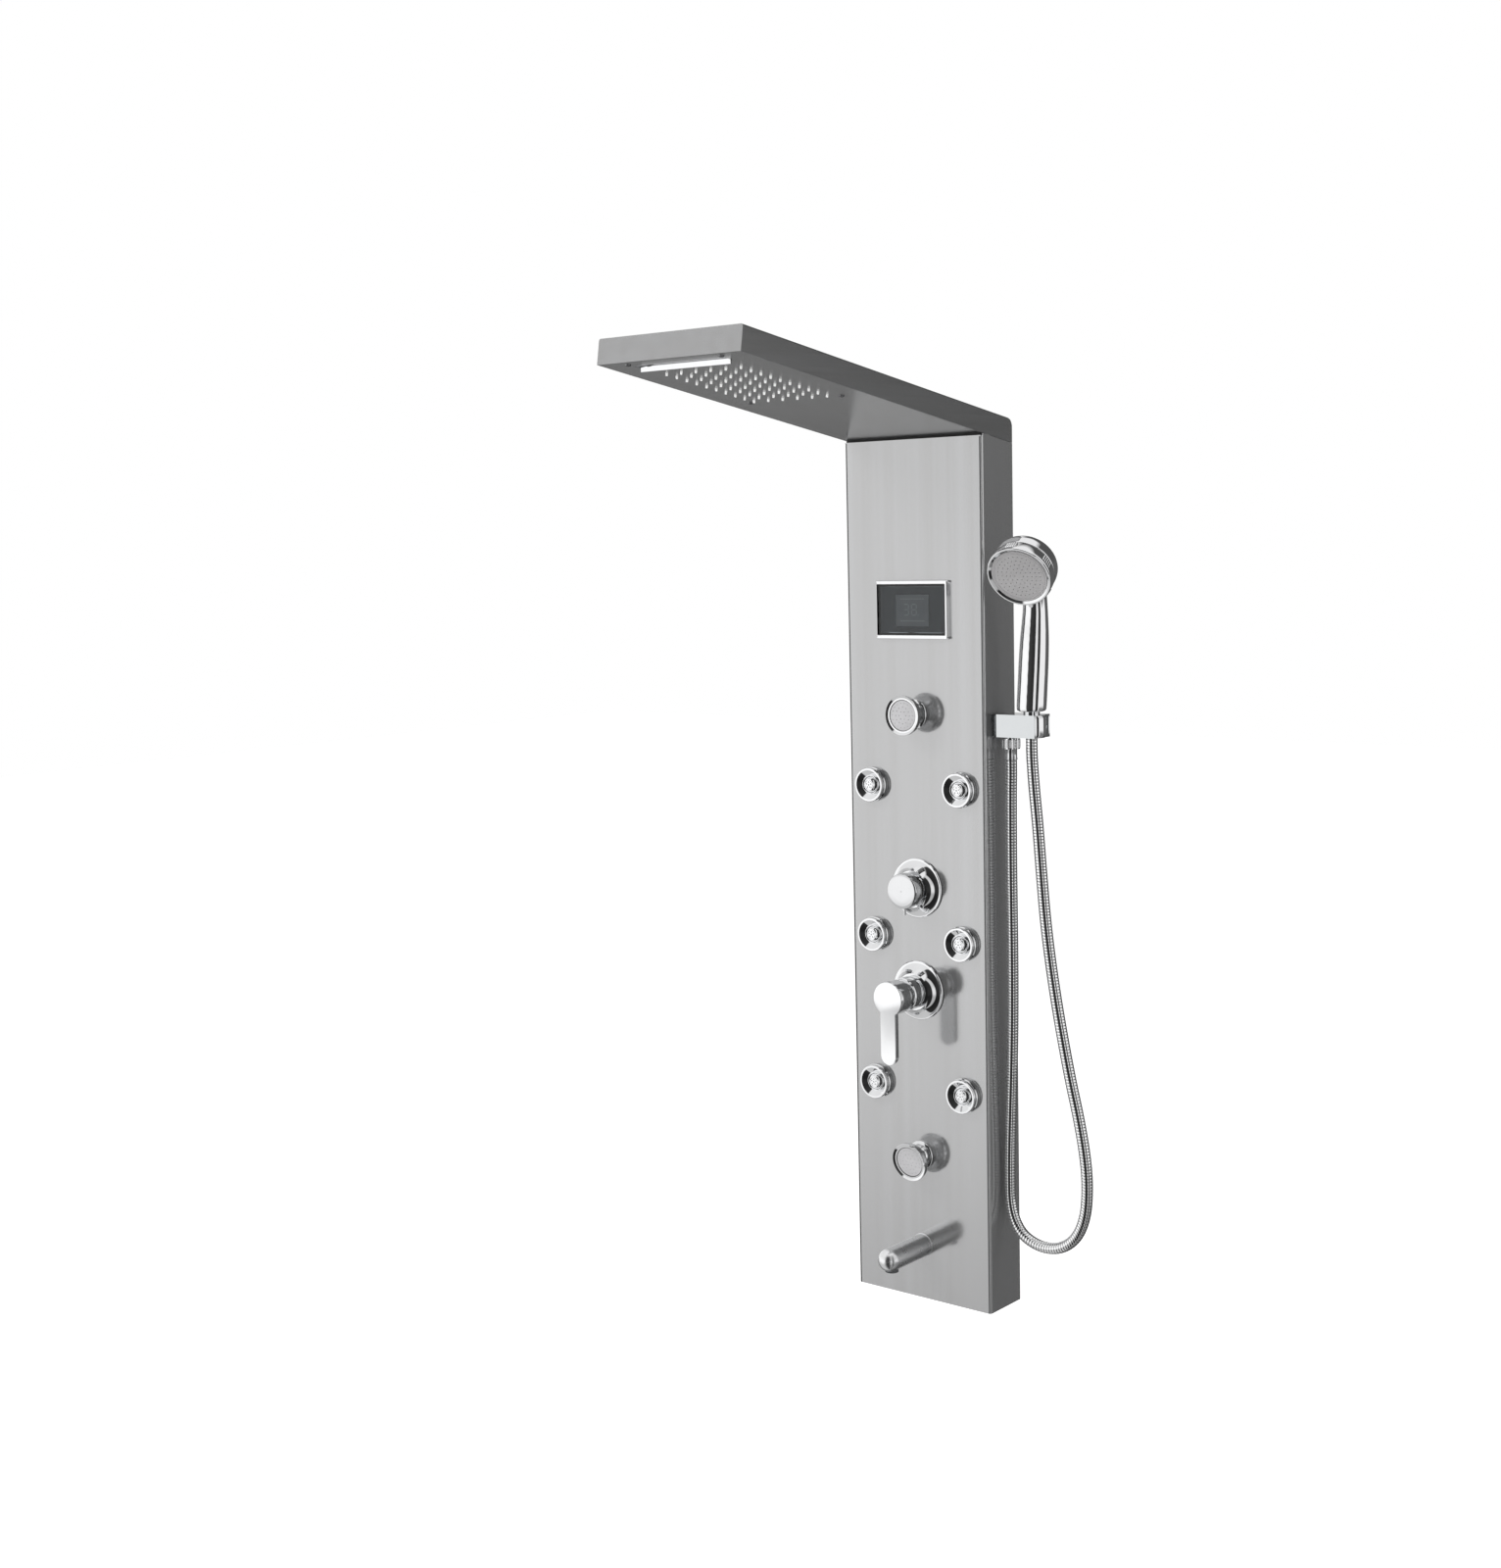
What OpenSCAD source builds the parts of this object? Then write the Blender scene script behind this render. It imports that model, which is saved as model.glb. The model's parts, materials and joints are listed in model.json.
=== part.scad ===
// Wall-hung shower panel: a folded steel column with an overhead rain and waterfall head,
// a lever mixer, a diverter, six body jets, two swivel sprays, a tub spout and a hand shower.
// Millimetres. +Z is up and +Y runs into the wall, so the panel faces -Y.
// The origin is on the wall, at the middle of the hanging rail's four screws.
// Heights named *_z are measured from the column's lower edge.

/* [Column] */
// Width of the column and of the head
column_w = 200; // [180:5:240]
// Depth of the column, from the wall to its front face
column_d = 66; // [60:1:90]
// Height of the column's front face
column_h = 1060; // [1040:10:1200]
// Thickness of the folded steel sheet
sheet_t = 1.2; // [0.8:0.1:1.6]
// Outer radius of the two upright front bends
bend_r = 4; // [2.5:0.5:7]
// Width of the two rear return flanges
return_w = 16; // [12:1:20]
// Depth of the fold that closes the front wall at the top
top_fold = 12; // [10:1:14]
// Distance from the column's upper edge down to the middle of the hanging rail
rail_drop = 120; // [100:5:160]

/* [Overhead head] */
// Length of the head in front of the waterfall blade
nose_len = 29.5; // [27:0.5:60]
// Thickness of the head
head_t = 28; // [26:1:36]
// Upward slope of the head
head_tilt = 9.2; // [5:0.2:12]
// Height of the dark joint between the column and the head
head_gap = 3; // [2.6:0.2:5]
// Radius of the head's upper rear corner
rear_r = 12; // [8:1:16]
// Radius of the head's other bends
head_bend_r = 2.5; // [1.8:0.1:3.5]
// Distance from the column to the middle of the rain field, along the slope
rain_reach = 306; // [260:1:340]
// Number of rain nozzles across the head
rain_across = 6; // [4:1:7]
// Number of rain nozzles along the head
rain_along = 10; // [6:1:10]
// Nozzle spacing across the head
rain_pitch_x = 20.8; // [16:0.2:22]
// Nozzle spacing along the head
rain_pitch_y = 16.4; // [14:0.2:16.6]
// Distance from the middle of the rain field to the waterfall blade
fall_gap = 102.5; // [94:0.5:120]
// Width of the waterfall mouth
fall_w = 127; // [100:1:140]
// How far the waterfall blade hangs below the underside
fall_drop = 4; // [2:0.5:6]

/* [Fittings on the front] */
// Height of the display's middle
display_z = 857; // [850:1:870]
// Width of the display bezel
display_w = 109; // [100:1:120]
// Height of the display bezel
display_h = 71; // [66:1:80]
// Height of the upper swivel spray
upper_spray_z = 731; // [715:1:740]
// Height of the lower swivel spray
lower_spray_z = 183; // [170:1:195]
// Radius of a swivel spray's head
spray_r = 24; // [20:0.5:27]
// Downward tilt of the lower spray at rest
lower_tilt = 8; // [0:1:14]
// Height of the lowest pair of body jets
jet_low_z = 268; // [262:1:276]
// Vertical spacing of the pairs of body jets
jet_pitch = 187; // [184:1:190]
// Distance of each jet from the panel's centre line
jet_x = 65; // [60:1:66]
// Outer radius of a body jet
jet_r = 21.5; // [20:0.5:24]
// Height of the diverter
diverter_z = 518; // [510:1:524]
// Radius of the diverter knob
knob_r = 21.5; // [19:0.5:24]
// How far the diverter knob stands out
knob_out = 34; // [32:1:40]
// Height of the mixer
mixer_z = 391; // [384:1:398]
// Radius of the mixer lever's round head
lever_r = 21; // [20.5:0.5:24]
// How far the mixer lever stands out
lever_out = 66; // [64:1:74]
// Length of the lever from its axis to its tip
lever_len = 81; // [60:1:95]
// Outer radius of the two valve flanges
flange_r = 36.5; // [34:0.5:39]
// Height of the tub spout
spout_z = 68; // [60:1:80]
// Radius of the tub spout
spout_r = 14.2; // [14:0.2:16]
// Length of the spout's straight tube
spout_len = 70; // [60:1:90]

/* [Hand shower] */
// Height of the bracket's middle
bracket_z = 719.5; // [716:0.5:723]
// Height of the bracket block
bracket_h = 27; // [24:1:30]
// Radius of the handle at its foot
handle_r = 17.6; // [15:0.2:18.4]
// Radius of the hand shower's head
shower_r = 39; // [36:0.5:42]
// Downward tilt of the hand shower's face
shower_tilt = 31.5; // [25:0.5:36]
// Turn of the hand shower to the right
shower_turn = 10.6; // [0:0.2:14]
// Outer diameter of the hose
hose_d = 14; // [12:0.5:15]
// Number of ribs along the hose
hose_ribs = 200; // [60:10:200]

/* [Clearances] */
// Gap between a piece and the plain hole that it passes through
fit_gap = 0.3; // [0.2:0.05:0.5]
// Radial gap round a turning shaft or cone
run_gap = 0.06; // [0.04:0.01:0.1]
// Gap round a swivel ball
ball_gap = 0.3; // [0.25:0.05:0.4]
// Hairline gap between two sheets
seam = 0.4; // [0.3:0.1:0.8]

/* [Hidden] */
$fn = 48;

STEEL = [0.74, 0.75, 0.76];
DARK_STEEL = [0.5, 0.5, 0.52];
CHROME = [0.86, 0.88, 0.9];
BRASS = [0.78, 0.62, 0.32];
GREY_PLATE = [0.6, 0.6, 0.61];
RUBBER = [0.12, 0.12, 0.12];
SILICONE = [0.88, 0.88, 0.86];
WHITE_PLASTIC = [0.85, 0.85, 0.83];
BLUE_PLASTIC = [0.35, 0.5, 0.62];
GLASS = [0.2, 0.22, 0.24, 0.6];

half_w = column_w / 2;
hang_h = column_h - rail_drop;
fall_reach = rain_reach + fall_gap;
head_reach = fall_reach + nose_len;
inner_w = column_w - 2 * sheet_t;
// Small overlap that keeps united solids joined
eps = 0.01;

// Wall rail and the strap that hooks over it
rail_h = 44;
rail_t = 1.5;
rail_lip = 14;
rail_step = 6;
rail_len = 140;
rail_hole_r = 2.75;
rail_hole_x = 55;
rail_hole_z = 12;
strap_t = 1.8;

// Mouth in the column's foot for the two supply hoses, and the rim in front of and behind it
foot_mouth_w = 116;
foot_rim = 7;

// Joint with the head
head_foot_z = column_h + head_gap;
tab_len = 24;
tab_drop = 18;

// Radius of the water hoses
hose_r = 5;

// Inside the head
plate_w = inner_w - 2 * seam;
plate_front = head_reach - sheet_t - seam;
rain_half_x = (rain_across - 1) / 2 * rain_pitch_x;
rain_half_y = (rain_along - 1) / 2 * rain_pitch_y;
nozzle_r = 1.7;
nozzle_out = 4;
mat_t = 1.6;
box_w = 2 * rain_half_x + 24;
box_l = 2 * rain_half_y + 10;
box_h = 11;
spigot_r = 4.5;
spigot_bore_r = 3;
spigot_x = 30;
rain_spigot = 16;
screw_x = 65;
rail_foot_w = 8;
rail_end_gap = 1;
screw_front = fall_reach + 18.5;
screw_rear = rain_reach - box_l / 2 - rail_foot_w / 2 - 0.2;
fall_mouth = 11.5;
blade_t = 1;
fall_box_h = 23;
fall_wall = 2;
fall_back = fall_reach - 11;
fall_spigot_v = sheet_t + mat_t + box_h + hose_r + 0.6;

// Display
bezel_out = 6;
bezel_rim = 4.5;
glass_foot = 1.6;
glass_t = 2.6;
module_d = 14;

// Generator
turbine_z = 795;
turbine_x = -34;
turbine_out = -30;
turbine_r = 17;
turbine_d = 20;
turbine_wall = 2.5;
turbine_reach = 31;
turbine_pipe_x = 10.5;
paddles = 8;
rotor_shaft_r = 1.5;

// Mixer
collar_r = 19.5;
flange_top = 13;
cartridge_r = 17;
cartridge_back = 20;
cartridge_top = 4;
nut_top = 12.4;
turret_r = 12;
pivot_out = 40;
pivot_pin_r = 1.6;
sleeve_r = 20.4;
sleeve_top = 35;
dome_r = 18.3;
dome_top = 51;
dome_mouth_r = 11.5;
lever_foot = 46;
lever_wall = 2.2;
lever_plate_t = 6;
lever_hub_r = 6.2;
lever_hub_foot = 56;
blade_w = 22.6;
stem_r = 4.5;
inlet_r = 10.45;
inlet_x = 30;
inlet_drop = 46;
valve_mid = -24;
valve_port_r = 9;

// Diverter
div_collar_r = 15.5;
div_body_r = 20;
div_cartridge_r = 13;
div_cartridge_back = 18;
spindle_r = 4;
spindle_back = -4.8;
port_reach = 34;
// Directions of the diverter's five outlets: bracket, waterfall, rain, jets, tub spout
port_turns = [20, 65, 115, 160, 205];

// Jets
jet_places = [for (row = [2:-1:0], side = [-1, 1]) [side * jet_x, jet_low_z + row * jet_pitch]];
jet_rise = 10;
jet_ball_r = 11;
jet_ball_out = 0.5;
jet_seat_t = 1;
jet_barrel_r = 14.4;
jet_barrel_back = -20;
jet_mouth_out = 5.2;
jet_nozzles = 5;
jet_tail_end = -30;
jet_hex = 37;

// Swivel sprays
spray_ball_r = 10;
spray_ball_out = 4;
spray_face_out = 26.4;
spray_body_t = 11;
spray_neck_r = 5.5;
spray_barrel_r = 14.5;
spray_seat_t = 1.4;
spray_barrel_back = -16;
spray_tail_end = -26;
spray_tail_r = 6;
spray_base_r = 18;
spray_hex = 36;

// Thread of the tub spout's and the bracket's tails
tail_r = 10.4;
tail_hex = 27;
nut_t = 5;

// Tub spout
spout_bore_r = 9;
spout_mouth_out = 66;
aerator_r = 8.4;

// Side bracket
side_y = -column_d / 2;
block_front = -20;
block_back = 14;
neck_len = 8;
block_end = 61;
socket_x = 44.6;
outlet_x = 15.7;
outlet_r = 9.8;
outlet_gap = 2.6;
nut_r = 11.3;
nut_h = 12.5;
ferrule_h = 13.2;
cone_top_r = 10;
cone_foot_r = 8.5;
handle_gap = 4.5;
bracket_tail = 22;

// Hand shower
handle_lean = 2;
shower_depth = 38;
face_reach = 49;
face_rise = 158;
ring_depth = 13;
// Direction of the selector ring's thumb tab, seen on the face
tab_angle = -81;
drum_r = shower_r - 5;
// Centre line of the handle and its radius at each point, from the foot up
grip = [[0, 0, 0], [0, 0, 5], [0, 1.5, 30], [0, 3, 60], [0, 4, 85], [0, 4.5, 104], [0, 4, 120],
    [0, 1, 136], [0, -6, 150], [0, -16, 160]];
grip_taper = [0.8, 0, 0, 0.1, 0.8, 2, 3, 3.6, 4.4, 6];

// Hose route, measured from the column's lower edge. The first and last stretches are upright.
hose_route = [
    [115.7, -33, 677.5], [115.7, -33, 660], [115.2, -33, 640], [114.8, -33, 600], [114.6, -33, 550],
    [114.8, -33, 500], [115, -33, 450], [114.8, -33, 400], [114, -33, 350], [112.8, -33.5, 300],
    [111, -34, 250], [109.6, -34.5, 205], [109.2, -35, 165], [110.2, -35, 136], [116, -35, 114],
    [127, -35, 98.5], [143, -35, 90], [161, -35, 87.5], [180, -35, 91.5], [197, -35, 103],
    [209, -35, 121], [216, -35, 146], [217.5, -35, 180], [214, -35, 215], [206, -34.5, 255],
    [195, -34, 300], [185.5, -34, 345], [176.5, -33.5, 390], [168, -33, 440], [161.5, -33, 490],
    [156.5, -33, 545], [152, -33, 600], [147.5, -33, 645], [145.2, -33, 675], [144.6, -33, 690],
    [144.6, -33, 706]];
hose_steps = 6;

// Helper geometry

// Raises what is measured from the column's lower edge into the part's frame
module from_foot() {
    translate([0, 0, -hang_h]) children();
}

// Sets a fitting on the front face, its own +Z pointing out of the panel
module on_front(x, z) {
    translate([x, -column_d, z - hang_h]) rotate([90, 0, 0]) children();
}

// Sets a fitting on the right side, its own +Z pointing away from the column
module on_side(z) {
    translate([half_w, side_y, z - hang_h]) rotate([0, 90, 0]) children();
}

// Frame of the head: -Y runs forward up the slope and +Z is square to the head
module on_head() {
    translate([0, -column_d, head_foot_z - hang_h]) rotate([-head_tilt, 0, 0]) children();
}

// Ring or disc of revolution from a list of [radius, height] points
module turned(points) {
    rotate_extrude() polygon(points);
}

module tube(outer, inner, height) {
    difference() {
        cylinder(r = outer, h = height);
        translate([0, 0, -eps]) cylinder(r = inner, h = height + 2 * eps);
    }
}

module hex_nut(across, inner, height) {
    difference() {
        cylinder(r = across / 2 / cos(30), h = height, $fn = 6);
        translate([0, 0, -eps]) cylinder(r = inner, h = height + 2 * eps);
    }
}

// Rounded rectangle, centred
module rounded_rect(w, h, r) {
    square([w - 2 * r, h], center = true);
    square([w, h - 2 * r], center = true);
    for (sx = [-1, 1], sy = [-1, 1])
        translate([sx * (w / 2 - r), sy * (h / 2 - r)]) circle(r);
}

// Smooth curve through a list of points
function along(p, i, t) =
    let (a = p[max(i - 1, 0)], b = p[i], c = p[i + 1], d = p[min(i + 2, len(p) - 1)])
    0.5 * (2 * b + (c - a) * t + (2 * a - 5 * b + 4 * c - d) * t * t
        + (3 * b - a - 3 * c + d) * t * t * t);
function smooth(p, steps) =
    [for (i = [0:len(p) - 2], k = [0:steps - 1]) along(p, i, k / steps), p[len(p) - 1]];
function running(p) =
    [for (i = 0, sum = 0; i < len(p); i = i + 1, sum = sum + (i < len(p) ? norm(p[i] - p[i - 1]) : 0)) sum];
function unit(v) = v / norm(v);

// One ring of a tube round a centre, square to a direction
function tube_ring(centre, dir, side, r, sides) =
    let (u = unit(cross(side, dir)), w = cross(dir, u))
    [for (k = [0:sides - 1]) centre + r * (cos(360 * k / sides) * u + sin(360 * k / sides) * w)];

// Directions along a list of points, square to the ends
function directions(p) =
    [for (i = [0:len(p) - 1]) unit(p[min(i + 1, len(p) - 1)] - p[max(i - 1, 0)])];

// Triangles between two neighbouring rings, and a fan that closes an end
function wall_faces(rings, sides, start = 0) =
    [for (i = [0:rings - 2], k = [0:sides - 1], half = [0, 1])
        let (a = start + i * sides + k, b = start + i * sides + (k + 1) % sides)
        half == 0 ? [a, a + sides, b] : [b, a + sides, b + sides]];
function end_faces(first, sides, flip) =
    [for (k = [1:sides - 2]) flip ? [first, first + k, first + k + 1] : [first, first + k + 1, first + k]];

// Solid tube whose radius may change from point to point
module loft(p, radii, side, sides) {
    dirs = directions(p);
    rings = [for (i = [0:len(p) - 1]) each tube_ring(p[i], dirs[i], side, radii[i], sides)];
    polyhedron(rings, concat(wall_faces(len(p), sides), end_faces(0, sides, true),
        end_faces((len(p) - 1) * sides, sides, false)));
}

// Plain water hose through a list of points
module water_hose(p, r, side) {
    path = smooth(p, 3);
    loft(path, [for (q = path) r], side, 8);
}

// Column

module column_plan(w, d, r) {
    translate([-w / 2, r - d]) square([w, d - r]);
    translate([r - w / 2, -d]) square([w - 2 * r, r + eps]);
    for (s = [-1, 1])
        translate([s * (w / 2 - r), r - d]) circle(r);
}

module column_section() {
    difference() {
        column_plan(column_w, column_d, bend_r);
        column_plan(inner_w, column_d - sheet_t, bend_r - sheet_t);
        translate([-inner_w / 2, -eps]) square([inner_w, 1]);
    }
    for (s = [-1, 1])
        translate([s > 0 ? half_w - return_w : -half_w, -sheet_t]) square([return_w, sheet_t]);
}

// Strap between the return flanges, with the tongue that hooks over the wall rail
module hanging_strap() {
    foot = hang_h + rail_h / 2 + rail_t + fit_gap;
    translate([-plate_w / 2, -sheet_t - strap_t, foot + rail_lip]) cube([plate_w, strap_t, 26]);
    translate([-rail_len / 2 + 10, -sheet_t - strap_t, foot])
        cube([rail_len - 20, strap_t, rail_lip + 1]);
}

module column_shell() {
    color(STEEL) difference() {
        from_foot() difference() {
            union() {
                linear_extrude(head_foot_z) column_section();
                linear_extrude(sheet_t) column_plan(column_w, column_d, bend_r);
                translate([-inner_w / 2, -column_d, column_h - sheet_t])
                    cube([inner_w, top_fold, sheet_t]);
                hanging_strap();
            }
            translate([-column_w, -2 * column_d, column_h]) cube([2 * column_w, column_d + bend_r, 50]);
        }
        on_head() translate([-column_w, -column_d, -seam]) cube([2 * column_w, 3 * column_d, 100]);
        on_front(0, display_z) translate([0, 0, -5]) linear_extrude(10)
            square([display_w - 13, display_h - 13], center = true);
        for (p = jet_places)
            on_front(p.x, p.y) panel_hole(jet_barrel_r);
        for (z = [upper_spray_z, lower_spray_z])
            on_front(0, z) panel_hole(spray_barrel_r);
        on_front(0, mixer_z) panel_hole(collar_r);
        on_front(0, diverter_z) panel_hole(div_collar_r);
        on_front(0, spout_z) panel_hole(tail_r);
        on_side(bracket_z) panel_hole(tail_r);
        from_foot() translate([-foot_mouth_w / 2, foot_rim - column_d, -1])
            cube([foot_mouth_w, column_d - 2 * foot_rim, 5]);
    }
}

module panel_hole(r) {
    translate([0, 0, -5]) cylinder(r = r + fit_gap, h = 10);
}

module wall_rail() {
    top = rail_h / 2;
    out = -rail_step;
    color(DARK_STEEL) difference() {
        rotate([90, 0, 90]) translate([0, 0, -rail_len / 2]) linear_extrude(rail_len)
            polygon([[0, -top], [0, top + rail_t], [out + rail_t, top + rail_t],
                [out + rail_t, top + rail_lip], [out, top + rail_lip], [out, top], [-rail_t, top],
                [-rail_t, -top]]);
        for (x = [-rail_hole_x, rail_hole_x], z = [-rail_hole_z, rail_hole_z])
            translate([x, 1, z]) rotate([90, 0, 0]) cylinder(r = rail_hole_r, h = 5);
    }
}

// Overhead head

// Side outline of the head in its own frame, drawn in by a margin and open downward by a depth
module head_side(margin, below) {
    top = head_t - margin;
    front = -(head_reach - margin);
    function rear(v) = (column_d - margin - v * sin(head_tilt)) / cos(head_tilt);
    r = rear_r - margin;
    corner = [rear(top), top];
    centre = [rear(top - r) - r / cos(head_tilt), top - r];
    touch = [rear(top - r * (1 - sin(head_tilt))), top - r * (1 - sin(head_tilt))];
    difference() {
        polygon([[front, -below], [rear(-below), -below], corner, [front, top]]);
        difference() {
            polygon([centre, [centre.x, top + 1], corner + [1, 1], touch + [1, 0], touch]);
            translate(centre) circle(r);
        }
    }
}

// Cross-section of the head with rounded upper edges
module head_cross(margin, below) {
    w = column_w - 2 * margin;
    r = head_bend_r - margin;
    top = head_t - margin;
    translate([-w / 2, -below]) square([w, top - r + below]);
    translate([r - w / 2, top - r - eps]) square([w - 2 * r, r + eps]);
    for (s = [-1, 1])
        translate([s * (w / 2 - r), top - r]) circle(r);
}

module head_solid(margin, below) {
    intersection() {
        rotate([90, 0, 90]) translate([0, 0, -column_w]) linear_extrude(2 * column_w)
            head_side(margin, below);
        rotate([90, 0, 0]) translate([0, 0, -2 * column_d]) linear_extrude(2 * column_d + head_reach + 5)
            head_cross(margin, below);
    }
}

module head_shell() {
    tab_x = half_w - 2 * sheet_t - seam;
    color(STEEL) on_head() {
        difference() {
            head_solid(0, 0);
            head_solid(sheet_t, 1);
        }
        for (s = [-1, 1]) {
            translate([s > 0 ? tab_x : -tab_x - sheet_t, tab_len, -tab_drop])
                cube([sheet_t, tab_len, tab_drop + 16]);
            translate([s > 0 ? tab_x : -half_w + sheet_t, tab_len, 8])
                cube([sheet_t + seam, tab_len, 8]);
        }
    }
}

module rain_grid() {
    for (i = [0:rain_across - 1], j = [0:rain_along - 1])
        translate([i * rain_pitch_x - rain_half_x, j * rain_pitch_y - rain_half_y - rain_reach]) children();
}

module at_head_screws() {
    for (x = [-screw_x, screw_x], y = [screw_front, screw_rear])
        translate([x, -y]) children();
}

module head_plate() {
    color(STEEL) on_head() difference() {
        translate([-plate_w / 2, -plate_front]) cube([plate_w, plate_front + top_fold, sheet_t]);
        rain_grid() translate([0, 0, -1]) cylinder(r = nozzle_r + fit_gap, h = 5);
        at_head_screws() translate([0, 0, -1]) cylinder(r = 2, h = 5);
        translate([-fall_w / 2, -fall_reach - fall_mouth, -1]) cube([fall_w, fall_mouth + blade_t + seam, 5]);
    }
}

// Folded cross rail under the top of the head. Its open side faces the water boxes.
module head_rail(open) {
    top = head_t - sheet_t;
    out = open * rail_foot_w / 2;
    web = -out;
    inner = web + open * sheet_t;
    rotate([90, 0, 90]) linear_extrude(plate_w - 2 * rail_end_gap) polygon([[out, sheet_t], [web, sheet_t], [web, top],
        [out, top], [out, top - sheet_t], [inner, top - sheet_t], [inner, 2 * sheet_t], [out, 2 * sheet_t]]);
}

// The two rails that take the plate's screws. Windows in the rear one let the hoses through.
module head_rails() {
    color(DARK_STEEL) on_head() difference() {
        union() {
            translate([rail_end_gap - plate_w / 2, -screw_front, 0]) head_rail(1);
            translate([rail_end_gap - plate_w / 2, -screw_rear, 0]) head_rail(-1);
        }
        at_head_screws() cylinder(r = 1.65, h = 5);
        for (s = [-1, 1])
            translate([s * spigot_x - 8, -screw_rear, 2.9]) cube([16, 8, head_t - 5.6]);
    }
}

module head_screws() {
    color(CHROME) on_head() at_head_screws() difference() {
        turned([[0, -1.6], [2.2, -1.4], [3.2, -0.8], [3.4, 0], [1.5, 0], [1.5, 6], [0, 7]]);
        translate([-2, -0.35, -2]) cube([4, 0.7, 1.2]);
        translate([-0.35, -2, -2]) cube([0.7, 4, 1.2]);
    }
}

// Dark foam wedge between the column's top fold and the head
module head_seal() {
    front = 3;
    back = top_fold - 1;
    rise = head_gap - front * tan(head_tilt);
    fall = head_gap - back * tan(head_tilt);
    color(RUBBER) from_foot() translate([-plate_w / 2, -column_d, column_h]) rotate([90, 0, 90])
        linear_extrude(plate_w) polygon([[front, 0], [back, 0], [back, fall], [front, rise]]);
}

module rain_box() {
    mid = box_h / 2;
    color(WHITE_PLASTIC) on_head() translate([0, -rain_reach, sheet_t + mat_t]) difference() {
        union() {
            translate([-box_w / 2, -box_l / 2]) cube([box_w, box_l, box_h]);
            translate([-spigot_x, box_l / 2 - eps, mid]) rotate([-90, 0, 0])
                cylinder(r = spigot_r, h = rain_spigot);
        }
        translate([fall_wall - box_w / 2, fall_wall - box_l / 2, -1])
            cube([box_w - 2 * fall_wall, box_l - 2 * fall_wall, box_h - 1]);
        translate([-spigot_x, box_l / 2 - 3, mid]) rotate([-90, 0, 0])
            cylinder(r = spigot_bore_r, h = rain_spigot + 4);
    }
}

// Silicone mat with one soft nozzle in each hole of the plate
module rain_nozzles() {
    color(SILICONE) on_head() difference() {
        union() {
            translate([-box_w / 2, -rain_reach - box_l / 2, sheet_t]) cube([box_w, box_l, mat_t]);
            rain_grid() translate([0, 0, -nozzle_out])
                cylinder(r1 = 1.1, r2 = nozzle_r, h = nozzle_out + sheet_t + eps);
        }
        rain_grid() translate([0, 0, -nozzle_out - 1]) cylinder(r = 0.5, h = nozzle_out + 6);
    }
}

// Water box of the waterfall, with its bright blade behind the mouth
module waterfall_box() {
    w = fall_w + 8;
    depth = fall_reach + fall_mouth + fall_wall - fall_back;
    color(CHROME) on_head() {
        difference() {
            union() {
                translate([-w / 2, -fall_back - depth, sheet_t]) cube([w, depth, fall_box_h]);
                translate([spigot_x, -fall_back - eps, fall_spigot_v]) rotate([-90, 0, 0])
                    cylinder(r = spigot_r, h = 11);
            }
            translate([1 - fall_w / 2, -fall_reach - fall_mouth, -1]) cube([fall_w - 2, fall_mouth, 5]);
            translate([fall_wall - w / 2, -fall_back - depth + fall_wall, sheet_t + 2])
                cube([w - 2 * fall_wall, depth - 2 * fall_wall, fall_box_h - 4]);
            translate([spigot_x, -fall_back - 3, fall_spigot_v]) rotate([-90, 0, 0])
                cylinder(r = spigot_bore_r, h = 20);
        }
        translate([1 - fall_w / 2, -fall_reach - eps, -fall_drop])
            cube([fall_w - 2, blade_t, fall_drop + sheet_t + 5]);
    }
}

// Display

module display_bezel() {
    lip = 1.5;
    color(CHROME) on_front(0, display_z) difference() {
        union() {
            linear_extrude(bezel_out - lip) rounded_rect(display_w, display_h, 4);
            translate([0, 0, bezel_out - lip - eps]) linear_extrude(lip)
                rounded_rect(display_w - 2, display_h - 2, 3);
        }
        translate([0, 0, glass_foot]) linear_extrude(10)
            rounded_rect(display_w - 2 * bezel_rim, display_h - 2 * bezel_rim, 1.5);
        translate([0, 0, -1]) linear_extrude(10)
            square([display_w - 15, display_h - 15], center = true);
    }
}

module display_glass() {
    color(GLASS) on_front(0, display_z) translate([0, 0, glass_foot]) linear_extrude(glass_t)
        rounded_rect(display_w - 2 * bezel_rim - fit_gap, display_h - 2 * bezel_rim - fit_gap, 1.35);
}

// Electronics case behind the glass, with the screen in front
module display_module() {
    color([0.3, 0.32, 0.33]) on_front(0, display_z) {
        translate([0, 0, -module_d]) linear_extrude(module_d + 0.8)
            square([display_w - 16, display_h - 16], center = true);
        translate([0, -1, 0]) linear_extrude(glass_foot) square([48, 38], center = true);
    }
}

// Water turbine that lights the display

module at_turbine() {
    on_front(turbine_x, turbine_z) translate([0, 0, turbine_out]) children();
}

module generator_housing() {
    foot_h = -turbine_out - turbine_d / 2 - sheet_t;
    color(BLUE_PLASTIC) at_turbine() difference() {
        union() {
            translate([0, 0, -turbine_d / 2]) cylinder(r = turbine_r, h = turbine_d);
            translate([turbine_pipe_x, -turbine_reach, 0]) rotate([-90, 0, 0])
                cylinder(r = spigot_r, h = 2 * turbine_reach);
            translate([-9, -8, turbine_d / 2 - eps]) cube([18, 16, foot_h]);
        }
        translate([0, 0, turbine_wall - turbine_d / 2])
            cylinder(r = turbine_r - turbine_wall, h = turbine_d - 2 * turbine_wall);
        translate([turbine_pipe_x, -turbine_reach - 1, 0]) rotate([-90, 0, 0])
            cylinder(r = spigot_bore_r, h = 2 * turbine_reach + 2);
        translate([0, 0, 1 - turbine_d / 2]) cylinder(r = rotor_shaft_r + run_gap, h = turbine_d - 2);
    }
}

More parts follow.
